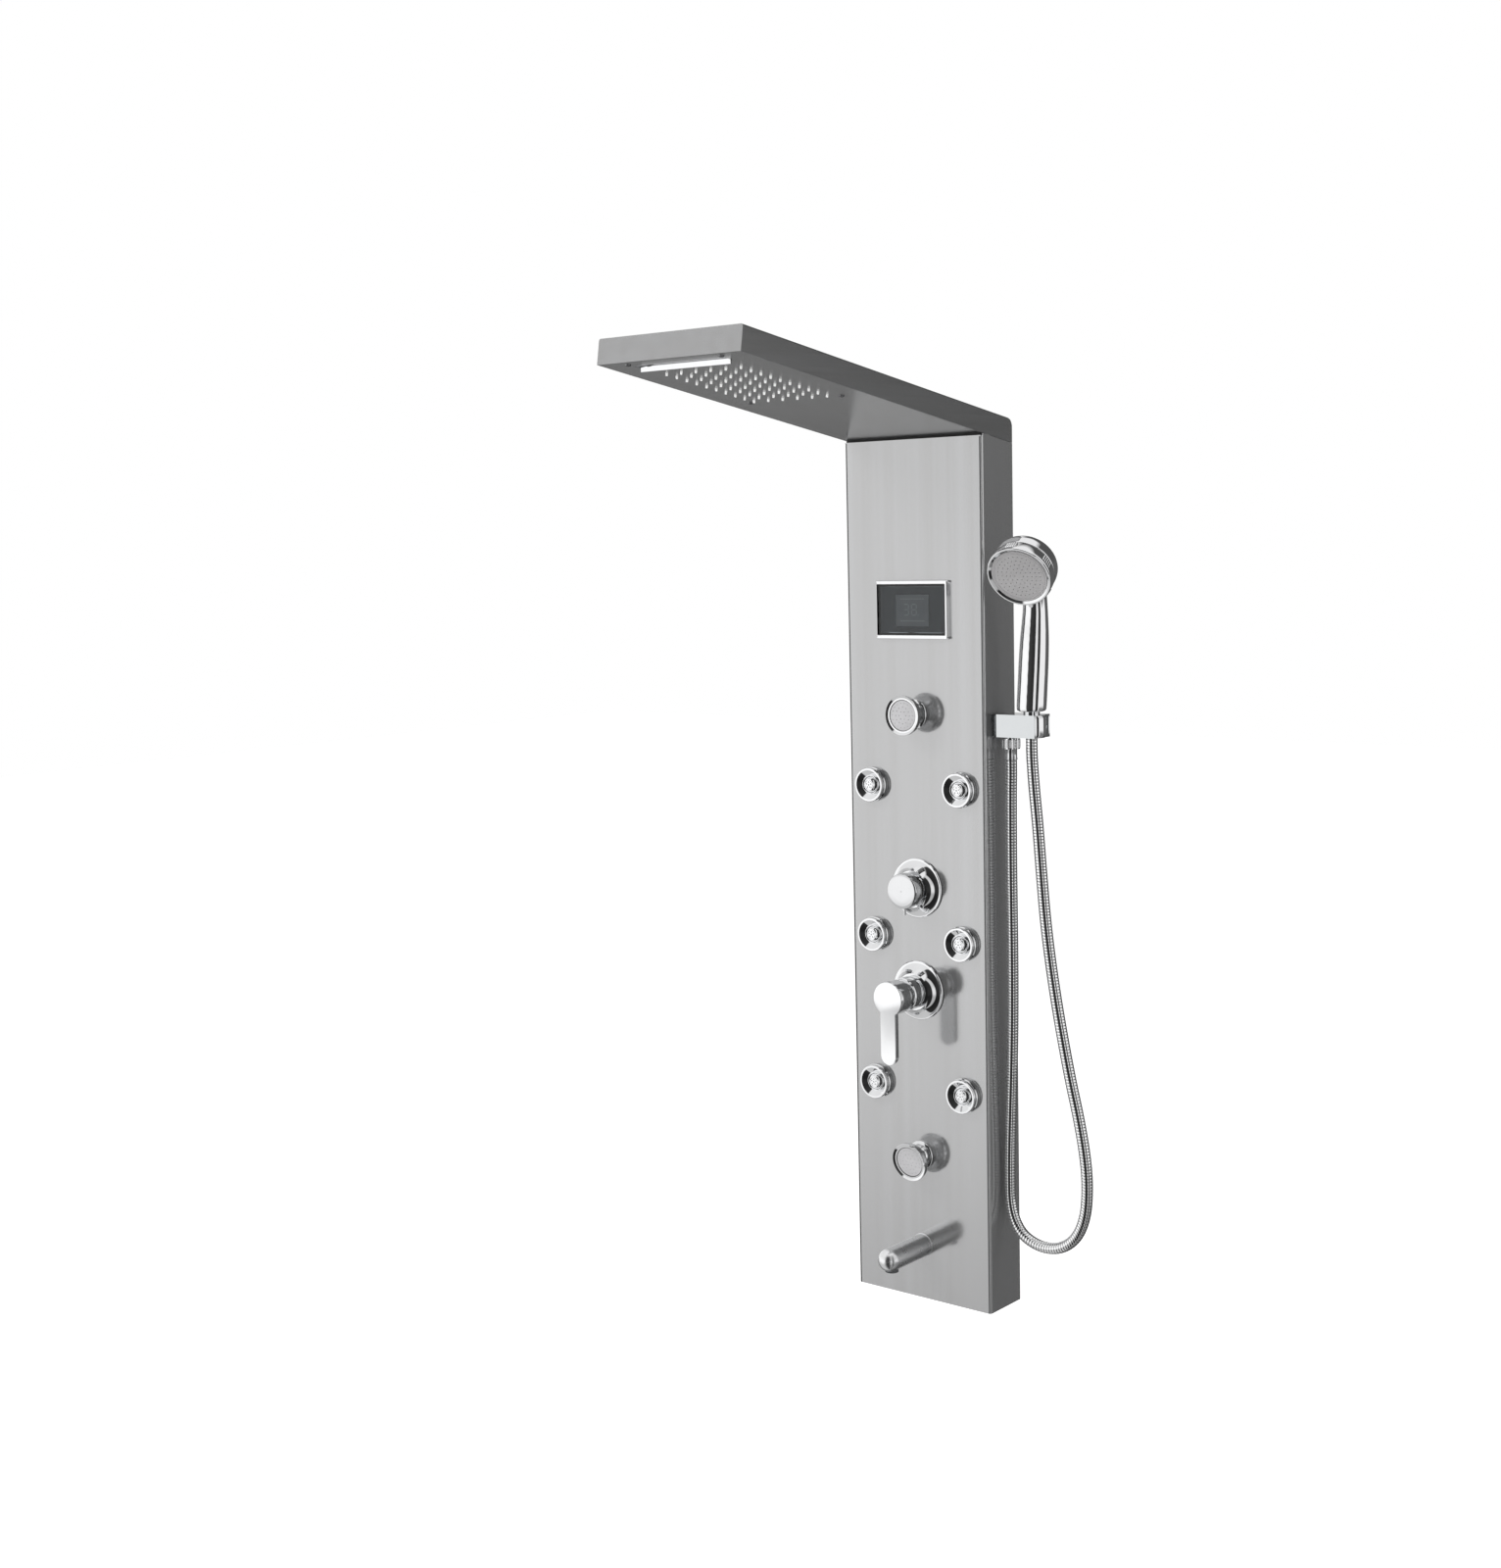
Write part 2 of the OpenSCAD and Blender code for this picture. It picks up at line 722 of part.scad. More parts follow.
module generator_rotor() {
    reach = turbine_r - turbine_wall - 0.8;
    h = turbine_d - 2 * turbine_wall - 1.2;
    hub = 3.5;
    color(WHITE_PLASTIC) at_turbine() {
        translate([0, 0, 1.3 - turbine_d / 2]) cylinder(r = rotor_shaft_r, h = turbine_d - 2.6);
        translate([0, 0, -h / 2]) cylinder(r = hub + 0.5, h = h);
        for (k = [0:paddles - 1])
            rotate(k * 360 / paddles) translate([hub, -0.6, -h / 2]) cube([reach - hub, 1.2, h]);
    }
}

// Mixer

module valve_flange(bore) {
    turned([[bore, 0], [flange_r, 0], [flange_r, 2], [flange_r - 0.8, 2.8], [flange_r - 2.4, 2.8],
        [flange_r - 4, 3.4], [flange_r - 7, 5.4], [flange_r - 10, 8], [flange_r - 12.6, 11.2],
        [flange_r - 13.8, flange_top], [bore + 0.4, flange_top], [bore, flange_top - 0.4]]);
}

module valve_flanges() {
    color(CHROME) {
        on_front(0, mixer_z) valve_flange(collar_r + run_gap);
        on_front(0, diverter_z) valve_flange(div_collar_r + run_gap);
    }
}

module mixer_body() {
    back = -sheet_t - seam;
    base = 34;
    color(BRASS) on_front(0, mixer_z) difference() {
        union() {
            translate([0, 0, back - base]) cylinder(r = 24, h = base);
            translate([0, 0, back - eps]) cylinder(r = collar_r, h = nut_top - 4 - back);
            for (s = [-1, 1]) {
                translate([s * inlet_x, -inlet_drop, valve_mid]) rotate([-90, 0, 0])
                    cylinder(r = inlet_r, h = inlet_drop);
                translate([s * inlet_x, -inlet_drop + 14, valve_mid]) rotate([-90, 0, 0])
                    cylinder(r = inlet_r + 2, h = inlet_drop - 4);
                translate([s > 0 ? 12 : -inlet_x, -10, valve_mid - 9]) cube([inlet_x - 12, 20, 18]);
            }
            translate([0, 20, valve_mid]) rotate([-90, 0, 0]) cylinder(r = valve_port_r, h = 14);
        }
        translate([0, 0, -cartridge_back]) cylinder(r = cartridge_r + fit_gap / 2, h = 60);
        translate([-inlet_x, 0, valve_mid - 5]) rotate([0, 90, 0]) cylinder(r = 4, h = 2 * inlet_x);
        for (s = [-1, 1])
            translate([s * inlet_x, -inlet_drop - 1, valve_mid]) rotate([-90, 0, 0])
                cylinder(r = 6.5, h = inlet_drop + 5);
        translate([0, -5, valve_mid]) rotate([-90, 0, 0]) cylinder(r = 6, h = 60);
    }
}

module mixer_cartridge() {
    color(WHITE_PLASTIC) on_front(0, mixer_z) difference() {
        translate([0, 0, -cartridge_back]) cylinder(r = cartridge_r, h = cartridge_back + cartridge_top);
        translate([0, 0, -6]) cylinder(r = turret_r + run_gap, h = 20);
    }
}

// Turning head of the cartridge, with the pin on which the stem tilts
module cartridge_turret() {
    top = pivot_out + 2.6;
    slot = 2 * (stem_r + fit_gap);
    color(WHITE_PLASTIC) on_front(0, mixer_z) {
        difference() {
            translate([0, 0, -6]) cylinder(r = turret_r, h = top + 6);
            translate([-slot / 2, -turret_r - 1, pivot_out - 12]) cube([slot, 2 * turret_r + 2, 20]);
        }
        translate([1 - turret_r, 0, pivot_out]) rotate([0, 90, 0])
            cylinder(r = pivot_pin_r, h = 2 * turret_r - 2);
    }
}

module cartridge_stem() {
    color(DARK_STEEL) on_front(0, mixer_z) difference() {
        translate([0, 0, pivot_out - 7]) cylinder(r = stem_r, h = lever_out - 3 - pivot_out + 7);
        translate([-10, 0, pivot_out]) rotate([0, 90, 0]) cylinder(r = pivot_pin_r + run_gap, h = 20);
    }
}

// Fixed sleeve over the cartridge. Its dome is centred on the pivot, inside the lever's skirt.
module mixer_sleeve() {
    foot = flange_top + fit_gap;
    wall = 2;
    color(CHROME) on_front(0, mixer_z) difference() {
        union() {
            turned([[0, foot], [sleeve_r, foot], [sleeve_r, sleeve_top - 1], [sleeve_r - 1, sleeve_top],
                [0, sleeve_top]]);
            intersection() {
                translate([0, 0, pivot_out]) sphere(r = dome_r);
                translate([0, 0, foot + 1]) cylinder(r = dome_r + 1, h = dome_top - foot - 1);
            }
        }
        translate([0, 0, foot - 1]) cylinder(r = dome_r - wall, h = pivot_out - foot + 1);
        translate([0, 0, pivot_out]) sphere(r = dome_r - wall);
        translate([0, 0, pivot_out]) cylinder(r = dome_mouth_r, h = 20);
    }
}

module mixer_lever() {
    inner = lever_r - lever_wall;
    plate_foot = lever_out - lever_plate_t;
    tip = blade_w / 2 - lever_len;
    color(CHROME) on_front(0, mixer_z) difference() {
        union() {
            turned([[0, lever_foot], [lever_r - 0.3, lever_foot], [lever_r - 0.3, plate_foot],
                [lever_r, plate_foot], [lever_r, lever_out - 1], [lever_r - 0.3, lever_out - 0.3],
                [lever_r - 1, lever_out], [0, lever_out]]);
            translate([0, 0, plate_foot]) linear_extrude(lever_plate_t - 0.6) {
                translate([-blade_w / 2, tip]) square([blade_w, -tip]);
                translate([0, tip]) circle(blade_w / 2);
            }
            translate([0, 0, lever_out - 0.6 - eps]) linear_extrude(0.6 + eps) {
                translate([0.6 - blade_w / 2, tip]) square([blade_w - 1.2, -tip]);
                translate([0, tip]) circle(blade_w / 2 - 0.6);
            }
        }
        translate([0, 0, lever_foot - 1]) tube(inner, lever_hub_r, plate_foot - lever_foot + 1);
        translate([0, 0, lever_foot - 1]) cylinder(r = lever_hub_r + 1, h = lever_hub_foot - lever_foot + 1);
        translate([0, 0, lever_foot]) cylinder(r = stem_r + run_gap, h = lever_out - 3 + run_gap - lever_foot);
    }
}

// Diverter

module diverter_body() {
    back = -sheet_t - seam;
    base = 36;
    color(BRASS) on_front(0, diverter_z) difference() {
        union() {
            translate([0, 0, back - base]) cylinder(r = div_body_r, h = base);
            translate([0, 0, back - eps]) cylinder(r = div_collar_r, h = flange_top - 3 - back);
            for (a = port_turns)
                rotate(a) translate([div_body_r - 4, 0, valve_mid]) rotate([0, 90, 0])
                    cylinder(r = spigot_r + 1, h = port_reach - div_body_r + 4);
            translate([0, 4 - div_body_r, valve_mid]) rotate([90, 0, 0])
                cylinder(r = valve_port_r, h = 14);
        }
        translate([0, 0, -div_cartridge_back]) cylinder(r = div_cartridge_r + fit_gap / 2, h = 60);
        for (a = port_turns)
            rotate(a) translate([8, 0, valve_mid]) rotate([0, 90, 0]) cylinder(r = spigot_bore_r, h = 40);
        translate([0, 0, valve_mid]) rotate([90, 0, 0]) cylinder(r = 6, h = 60);
    }
}

module diverter_cartridge() {
    back = div_cartridge_back;
    color(WHITE_PLASTIC) on_front(0, diverter_z) difference() {
        union() {
            translate([0, 0, -back]) cylinder(r = div_cartridge_r, h = back + flange_top - 4);
            translate([0, 0, -back]) cylinder(r = spindle_r + 4, h = back + flange_top);
        }
        translate([0, 0, spindle_back - fit_gap]) cylinder(r = spindle_r + run_gap, h = 30);
    }
}

module diverter_spindle() {
    color(BRASS) on_front(0, diverter_z) {
        translate([0, 0, spindle_back]) cylinder(r = spindle_r, h = knob_out - 6 - spindle_back);
        translate([0, 0, flange_top + fit_gap]) cylinder(r = spindle_r + 1.6, h = 3);
    }
}

module diverter_knob() {
    foot = flange_top + 1.6;
    skirt_r = knob_r - 4.5;
    rim_foot = knob_out - 14;
    wall = 2;
    color(CHROME) on_front(0, diverter_z) {
        difference() {
            turned([[0, foot], [skirt_r, foot], [skirt_r, rim_foot - 2], [knob_r - 1.5, rim_foot],
                [knob_r, rim_foot + 1.5], [knob_r, knob_out - 2], [knob_r - 0.6, knob_out - 0.8],
                [knob_r - 2, knob_out - 0.2], [knob_r - 8, knob_out + 0.3], [0, knob_out + 0.6]]);
            translate([0, 0, foot - 1]) tube(skirt_r - wall, spindle_r + 3.6, rim_foot - foot + 8);
            translate([0, 0, foot - 1]) cylinder(r = spindle_r + 1.6 + fit_gap, h = flange_top + 5 - foot);
            translate([0, 0, foot]) cylinder(r = spindle_r + run_gap, h = knob_out - 5.7 - foot);
        }
        translate([0, 1 - knob_r, knob_out - 7]) rotate([90, 0, 0]) cylinder(r = 1.4, h = 9);
    }
}

// Body jets

module jet_housing() {
    cavity = jet_ball_r + ball_gap;
    deep = cavity + jet_seat_t + ball_gap;
    mouth_r = sqrt(cavity * cavity - pow(jet_mouth_out - jet_ball_out, 2));
    back = jet_barrel_back;
    split = jet_ball_out - 2 + ball_gap;
    difference() {
        turned([[0, back], [jet_barrel_r, back], [jet_barrel_r, 0], [jet_r - 1.4, 0], [jet_r, 1.2],
            [jet_r, 3.4], [jet_r - 0.9, 4.2], [jet_r - 0.5, 5], [jet_r - 0.5, jet_rise - 2.4],
            [jet_r - 1.2, jet_rise - 0.6], [jet_r - 2.2, jet_rise], [jet_r - 3.4, jet_rise - 0.4],
            [jet_r - 4.6, jet_rise - 2.2], [jet_r - 6.4, jet_rise - 4], [mouth_r + 1.6, jet_mouth_out],
            [mouth_r + 1.2, jet_mouth_out + 0.8], [0, jet_mouth_out + 0.8]]);
        translate([0, 0, jet_ball_out]) sphere(r = cavity);
        translate([0, 0, back - 1]) cylinder(r = deep, h = split - back + 1);
        translate([0, 0, jet_mouth_out]) cylinder(r1 = mouth_r, r2 = mouth_r + 0.9, h = 0.9);
    }
}

module jet_housings() {
    color(CHROME) for (p = jet_places)
        on_front(p.x, p.y) jet_housing();
}

// Soft cup behind a swivel ball, round inside and outside
module ball_seat(ball_r, wall) {
    inner = ball_r + ball_gap;
    difference() {
        intersection() {
            sphere(r = inner + wall);
            translate([0, 0, -2 * ball_r]) cylinder(r = 2 * ball_r, h = 2 * ball_r - 2);
        }
        sphere(r = inner);
        translate([0, 0, -2 * ball_r]) cylinder(r = ball_r / 2, h = 2 * ball_r);
    }
}

module jet_seat(k) {
    color(RUBBER) on_front(jet_places[k].x, jet_places[k].y) translate([0, 0, jet_ball_out])
        ball_seat(jet_ball_r, jet_seat_t);
}

module jet_ball(k) {
    face = 8.6;
    back = 7;
    groove = 2.2;
    color(CHROME) on_front(jet_places[k].x, jet_places[k].y) translate([0, 0, jet_ball_out]) difference() {
        intersection() {
            sphere(r = jet_ball_r);
            translate([0, 0, -back]) cylinder(r = jet_ball_r + 1, h = face + back);
        }
        translate([0, 0, face - 0.8]) tube(5.9, 5.2, 2);
        translate([0, 0, face - groove]) cylinder(r = 0.9, h = 5);
        for (n = [0:jet_nozzles - 1])
            rotate(90 + n * 360 / jet_nozzles) translate([3.4, 0, face - groove]) cylinder(r = 0.8, h = 5);
        translate([0, 0, -back - 1]) cylinder(r = 5, h = 5);
    }
}

// Water nipple screwed into the back of a jet, under the soft cup
module jet_tail() {
    seat = jet_ball_r + jet_seat_t + 2 * ball_gap;
    back = jet_barrel_back;
    difference() {
        union() {
            translate([0, 0, back]) cylinder(r = seat - fit_gap / 2, h = -5 - back);
            translate([0, 0, jet_tail_end]) cylinder(r = spigot_r + 0.5, h = back - jet_tail_end + 1);
        }
        translate([0, 0, jet_ball_out]) sphere(r = seat);
        translate([0, 0, jet_tail_end - 1]) cylinder(r = spigot_bore_r, h = 30);
    }
}

module jet_tails() {
    color(WHITE_PLASTIC) for (p = jet_places)
        on_front(p.x, p.y) jet_tail();
}

// Ring nut over the mixer's cartridge
module cartridge_nut() {
    difference() {
        union() {
            translate([0, 0, cartridge_top]) cylinder(r = cartridge_r, h = nut_top - 4 - cartridge_top);
            translate([0, 0, nut_top - 4]) cylinder(r = collar_r, h = 4, $fn = 6);
        }
        translate([0, 0, cartridge_top - 1]) cylinder(r = turret_r + fit_gap, h = 20);
    }
}

// Ring nuts that clamp the jets, the sprays, the spout, the bracket and the mixer's cartridge
module ring_nuts() {
    back = -sheet_t - nut_t;
    color(BRASS) {
        for (p = jet_places)
            on_front(p.x, p.y) translate([0, 0, back]) hex_nut(jet_hex, jet_barrel_r + run_gap, nut_t);
        for (z = [upper_spray_z, lower_spray_z])
            on_front(0, z) translate([0, 0, back]) hex_nut(spray_hex, spray_barrel_r + run_gap, nut_t);
        on_front(0, spout_z) translate([0, 0, back]) hex_nut(tail_hex, tail_r + run_gap, nut_t);
        on_side(bracket_z) translate([0, 0, back]) hex_nut(tail_hex, tail_r + run_gap, nut_t);
        on_front(0, mixer_z) cartridge_nut();
    }
}

// Swivel sprays

module spray_base() {
    split = spray_ball_out - 2 + ball_gap;
    deep = spray_ball_r + spray_seat_t + 2 * ball_gap;
    top = spray_ball_out + spray_ball_r / 2;
    difference() {
        turned([[0, spray_tail_end], [spray_tail_r, spray_tail_end], [spray_tail_r, spray_barrel_back],
            [spray_barrel_r, spray_barrel_back], [spray_barrel_r, 0], [spray_base_r - 0.5, 0],
            [spray_base_r, 0.6], [spray_base_r, 2], [spray_base_r - 1, 3.2], [spray_barrel_r + 0.1, 4],
            [spray_barrel_r - 0.9, top - 1.6], [spray_barrel_r - 1.9, top], [0, top]]);
        translate([0, 0, spray_ball_out]) sphere(r = spray_ball_r + ball_gap);
        translate([0, 0, spray_ball_out]) intersection() {
            sphere(r = deep);
            translate([0, 0, split - spray_ball_out - 2 * deep]) cylinder(r = 2 * deep, h = 2 * deep);
        }
        translate([0, 0, spray_tail_end - 1]) cylinder(r = spigot_bore_r, h = 2 - spray_tail_end);
    }
}

module spray_bases() {
    color(CHROME) for (z = [upper_spray_z, lower_spray_z])
        on_front(0, z) spray_base();
}

module spray_seat(z) {
    color(RUBBER) on_front(0, z) translate([0, 0, spray_ball_out]) ball_seat(spray_ball_r, spray_seat_t);
}

// Turns a spray about its ball by a downward tilt
module tilted(angle) {
    translate([0, 0, spray_ball_out]) rotate([angle, 0, 0]) translate([0, 0, -spray_ball_out]) children();
}

module spray_head() {
    back = spray_face_out - spray_body_t;
    rim = spray_face_out;
    color(CHROME) difference() {
        union() {
            translate([0, 0, spray_ball_out]) sphere(r = spray_ball_r);
            turned([[0, spray_ball_out], [spray_neck_r, spray_ball_out], [spray_neck_r, back - 3],
                [9, back - 1.4], [12, back + 0.8], [spray_r - 3.4, back + 2.2], [spray_r - 2, back + 3.4],
                [spray_r - 1.6, rim - 4.6], [spray_r, rim - 4], [spray_r, rim - 1.2],
                [spray_r - 0.8, rim - 0.2], [spray_r - 1.8, rim], [0, rim]]);
            for (k = [0:23])
                rotate(k * 15) translate([spray_r - 2.2, 0, rim - 7.2]) cylinder(r = 0.9, h = 3.4);
        }
        translate([0, 0, rim - 2.4]) cylinder(r = spray_r - 2.8, h = 5);
        translate([0, 0, rim - 5.4]) cylinder(r = spray_r - 4.6, h = 5);
        translate([0, 0, -10]) cylinder(r = 3, h = 30);
    }
}

module spray_plate() {
    r = spray_r - 2.8 - fit_gap / 2;
    color(GREY_PLATE) difference() {
        translate([0, 0, spray_face_out - 2.4]) cylinder(r = r, h = 1.8);
        for (ring = [1:3], k = [0:6 * ring - 1])
            rotate(k * 60 / ring) translate([ring * 5, 0, spray_face_out - 3]) cylinder(r = 0.45, h = 4);
    }
}

// Tub spout

module tub_spout() {
    color(CHROME) on_front(0, spout_z) difference() {
        union() {
            cylinder(r = spout_r, h = spout_len);
            translate([0, 0, spout_len]) sphere(r = spout_r);
            translate([0, 0, valve_mid]) cylinder(r = tail_r, h = 1 - valve_mid);
            turned([[0, 0], [spout_r + 0.7, 0], [spout_r + 0.7, 1], [spout_r + 0.2, 1.6], [0, 1.6]]);
        }
        translate([0, 0, valve_mid - 1]) cylinder(r = tail_r - 3.4, h = 2 - valve_mid);
        cylinder(r = spout_bore_r, h = spout_mouth_out);
        translate([0, 0, spout_mouth_out]) sphere(r = spout_bore_r);
        translate([0, 0, spout_mouth_out]) rotate([90, 0, 0]) cylinder(r = aerator_r, h = 30);
    }
}

module spout_aerator() {
    out = 1.2;
    color(DARK_STEEL) on_front(0, spout_z) translate([0, -spout_r - out, spout_mouth_out])
        rotate([-90, 0, 0]) difference() {
            cylinder(r = aerator_r - fit_gap / 2, h = 6.6);
            translate([0, 0, -1]) cylinder(r = aerator_r - 1.8, h = 3.4);
            for (x = [-1:1], y = [-1:1])
                translate([x * 3.2, y * 3.2, 1]) cylinder(r = 1, h = 10);
        }
}

// Side bracket, which feeds the hose and holds the hand shower

// Frame at the middle of the bracket's foot: X runs out of the column and Y into the wall
module in_bracket() {
    translate([half_w, side_y, bracket_z - hang_h]) children();
}

block_low = -bracket_h / 2;
handle_foot = bracket_h / 2 + handle_gap;
cone_len = handle_foot - block_low - cone_top_r * sin(handle_lean) - 0.1;
cone_slope = (cone_top_r - cone_foot_r) / cone_len;

module outlet_bracket() {
    depth = block_back - block_front;
    reach = block_end - neck_len;
    socket_h = bracket_h + 2;
    color(CHROME) in_bracket() difference() {
        union() {
            translate([neck_len, block_front, block_low]) cube([reach, depth, bracket_h]);
            translate([0, block_front + 0.6, block_low + 0.4]) cube([1.8, depth - 1.2, bracket_h - 0.8]);
            translate([0, block_front + 2.2, block_low + 1.8]) cube([neck_len + 1, depth - 4.4,
                bracket_h - 3.6]);
            translate([4, block_front + 0.6, block_low + 0.4]) cube([2, depth - 1.2, bracket_h - 0.8]);
            translate([-bracket_tail, 0, 0]) rotate([0, 90, 0]) cylinder(r = tail_r, h = bracket_tail + 1);
            translate([outlet_x, 0, block_low - outlet_gap]) cylinder(r = 7, h = outlet_gap + 1);
            translate([outlet_x, 0, block_low - outlet_gap - 8]) cylinder(r = outlet_r, h = 8);
        }
        translate([-bracket_tail - 1, 0, 0]) rotate([0, 90, 0])
            cylinder(r = 5, h = bracket_tail + 1 + outlet_x);
        translate([outlet_x, 0, block_low - 20]) cylinder(r = 5, h = 20 - block_low);
        translate([socket_x, 0, block_low - 1]) cylinder(r1 = cone_foot_r - cone_slope + run_gap,
            r2 = cone_foot_r + cone_slope * (bracket_h + 1) + run_gap, h = socket_h);
        translate([block_end - 3, 0, 0]) rotate([0, 90, 0]) cylinder(r = 8, h = 4);
    }
}

// Polished cap on the end of the bracket
module bracket_cap() {
    r = bracket_h / 2 - 0.8;
    color(CHROME) in_bracket() translate([block_end, -1, 0]) rotate([0, 90, 0])
        turned([[0, 0], [r, 0], [r, 0.8], [r - 0.6, 1.8], [r - 2.4, 2.8], [r - 6, 3.6], [0, 4]]);
}

module cone_nut() {
    color(CHROME) in_bracket() translate([socket_x, 0, block_low]) difference() {
        cylinder(r1 = cone_foot_r, r2 = cone_top_r, h = cone_len);
        translate([0, 0, -1]) cylinder(r = 4, h = cone_len + 5);
    }
}

module hose_nut() {
    top = block_low - outlet_gap;
    color(CHROME) in_bracket() translate([outlet_x, 0, top - nut_h]) difference() {
        union() {
            cylinder(r = nut_r - 0.6, h = nut_h);
            for (k = [0:17])
                rotate(k * 20) translate([nut_r - 1.3, 0, 1.5]) cylinder(r = 1.3, h = nut_h - 3);
        }
        translate([0, 0, nut_h - 8.3]) cylinder(r = outlet_r + run_gap, h = nut_h);
        translate([0, 0, -1]) cylinder(r = 4, h = nut_h);
    }
}

// Smooth sleeve crimped on the hose below its nut
module hose_ferrule() {
    top = block_low - outlet_gap - nut_h;
    r = hose_d / 2;
    color(CHROME) in_bracket() translate([outlet_x, 0, top - ferrule_h]) difference() {
        turned([[0, 0], [r + 0.4, 0], [r + 0.6, 1], [r + 0.2, 3], [r + 0.2, ferrule_h - 1],
            [r + 0.8, ferrule_h], [0, ferrule_h]]);
        translate([0, 0, -1]) cylinder(r = 4, h = ferrule_h + 2);
    }
}

// Hand shower

// Frame of the handle's foot, turned to the right and leaning a little
module in_handle() {
    translate([half_w + socket_x, side_y, bracket_z - hang_h + handle_foot])
        rotate([0, handle_lean, shower_turn]) children();
}

// Frame of the spray face, +Z pointing out of the face
module in_face() {
    in_handle() translate([0, -face_reach, face_rise]) rotate([90 + shower_tilt, 0, 0]) children();
}

module handset() {
    wall_back = -shower_depth;
    color(CHROME) difference() {
        union() {
            in_handle() loft(grip, [for (d = grip_taper) handle_r - d], [1, 0, 0], 24);
            in_face() turned([[0, -2], [drum_r, -2], [drum_r, -ring_depth - 0.4],
                [shower_r - 0.6, -ring_depth - 0.6], [shower_r - 0.8, -24], [shower_r - 2.6, -31],
                [shower_r - 6, -35.4], [shower_r - 12, wall_back], [shower_r - 22, wall_back - 1.2],
                [0, wall_back - 1.6]]);
        }
        in_face() translate([0, 0, -11]) cylinder(r = drum_r - 2, h = 20);
    }
}

// Ring that selects the spray, with ribbed grips round it
module selector_ring() {
    bore = drum_r + run_gap;
    color(CHROME) in_face() {
        turned([[bore, -ring_depth], [shower_r - 0.6, -ring_depth], [shower_r - 0.2, 1 - ring_depth],
            [shower_r - 0.2, -3], [shower_r, -1.4], [shower_r - 0.6, 0.2], [shower_r - 2.2, 0.8],
            [shower_r - 3.6, 0.2], [bore, -2.4]]);
        for (g = [0:4], k = [-2:2])
            rotate(97.5 + g * 72 + k * 4.2) translate([shower_r - 0.6, 0, 1.4 - ring_depth])
                cylinder(r = 1.1, h = 7);
        rotate(tab_angle) {
            translate([shower_r - 1, -2.6, -6.4]) cube([3, 5.2, 5.2]);
            translate([shower_r + 2, 0, -6.4]) cylinder(r = 2.6, h = 5.2);
        }
    }
}

module handset_plate() {
    r = drum_r - 2 - fit_gap / 2;
    color(GREY_PLATE) in_face() difference() {
        turned([[0, -11], [r, -11], [r, -0.8], [r - 1.2, 0], [r - 2.2, -0.8], [0, -0.8]]);
        for (ring = [1:5], k = [0:6 * ring - 1])
            rotate(k * 60 / ring) translate([ring * 5.2, 0, -4]) cylinder(r = 0.55, h = 5);
    }
}

// Shower hose: a ribbed steel tube with its bore, hanging in one long loop

hose_path = smooth(hose_route, hose_steps);
hose_run = running(hose_path);
hose_len = hose_run[len(hose_run) - 1];
function on_hose(s) =
    [for (axis = [0:2]) lookup(s, [for (i = [0:len(hose_path) - 1]) [hose_run[i], hose_path[i][axis]]])];

module hose() {
    sides = 8;
    crest = hose_d / 2;
    valley = crest - 0.7;
    rings = 2 * hose_ribs + 1;
    bore_rings = hose_ribs / 2 + 1;
    outer = [for (i = [0:rings - 1]) on_hose(hose_len * i / (rings - 1))];
    outer_dir = directions(outer);
    inner = [for (i = [0:bore_rings - 1]) on_hose(hose_len * i / (bore_rings - 1))];
    inner_dir = directions(inner);
    // Rings at the very ends stand square to the pieces that they meet
    dir_out = [for (i = [0:rings - 1]) i == 0 ? [0, 0, -1] : i == rings - 1 ? [0, 0, 1] : outer_dir[i]];
    dir_in = [for (i = [0:bore_rings - 1])
        i == 0 ? [0, 0, -1] : i == bore_rings - 1 ? [0, 0, 1] : inner_dir[i]];
    skin = [for (i = [0:rings - 1])
        each tube_ring(outer[i], dir_out[i], [0, 1, 0], i % 2 == 0 ? valley : crest, sides)];
    bore = [for (i = [0:bore_rings - 1]) each tube_ring(inner[i], dir_in[i], [0, 1, 0], 4, sides)];
    first = rings * sides;
    last_out = (rings - 1) * sides;
    last_in = first + (bore_rings - 1) * sides;
    rims = [for (k = [0:sides - 1], half = [0, 1])
        let (n = (k + 1) % sides) each half == 0
            ? [[k, n, first + k], [last_out + n, last_out + k, last_in + k]]
            : [[n, first + n, first + k], [last_out + n, last_in + k, last_in + n]]];
    color(CHROME) from_foot() polyhedron(concat(skin, bore), concat(wall_faces(rings, sides),
        [for (f = wall_faces(bore_rings, sides, first)) [f[0], f[2], f[1]]], rims));
}

// Water ways inside the column. Routes are [x, height, out] behind the front face.

rail_out = -46;
jet_tee_z = diverter_z + 30;
cross_pipe_z = diverter_z + 67;
rail_r = 6;

// A route's points in the part's frame
function behind(route) = [for (p = route) [p.x, -column_d - p.z, p.y - hang_h]];

// Mouth of one of the diverter's outlets
function port(k, reach) = [reach * cos(port_turns[k]), diverter_z + reach * sin(port_turns[k]), valve_mid];

// A point in the head at a distance along the slope and a height above the underside
function in_head(x, along_slope, v) =
    [x, -column_d - along_slope * cos(head_tilt) + v * sin(head_tilt),
        head_foot_z - hang_h + along_slope * sin(head_tilt) + v * cos(head_tilt)];

// Upright rail behind each column of jets, with a tee at every jet
module jet_rail(side) {
    tee_foot = jet_tail_end - 2;
    on_front(side * jet_x, jet_low_z) translate([0, -10, rail_out]) rotate([-90, 0, 0])
        cylinder(r = rail_r, h = 2 * jet_pitch + 20);
    for (row = [0:2])
        on_front(side * jet_x, jet_low_z + row * jet_pitch) translate([0, 0, rail_out]) difference() {
            cylinder(r = 7.5, h = tee_foot - rail_out + 8);
            translate([0, 0, tee_foot - rail_out]) cylinder(r = spigot_r + 0.5 + run_gap, h = 10);
        }
}

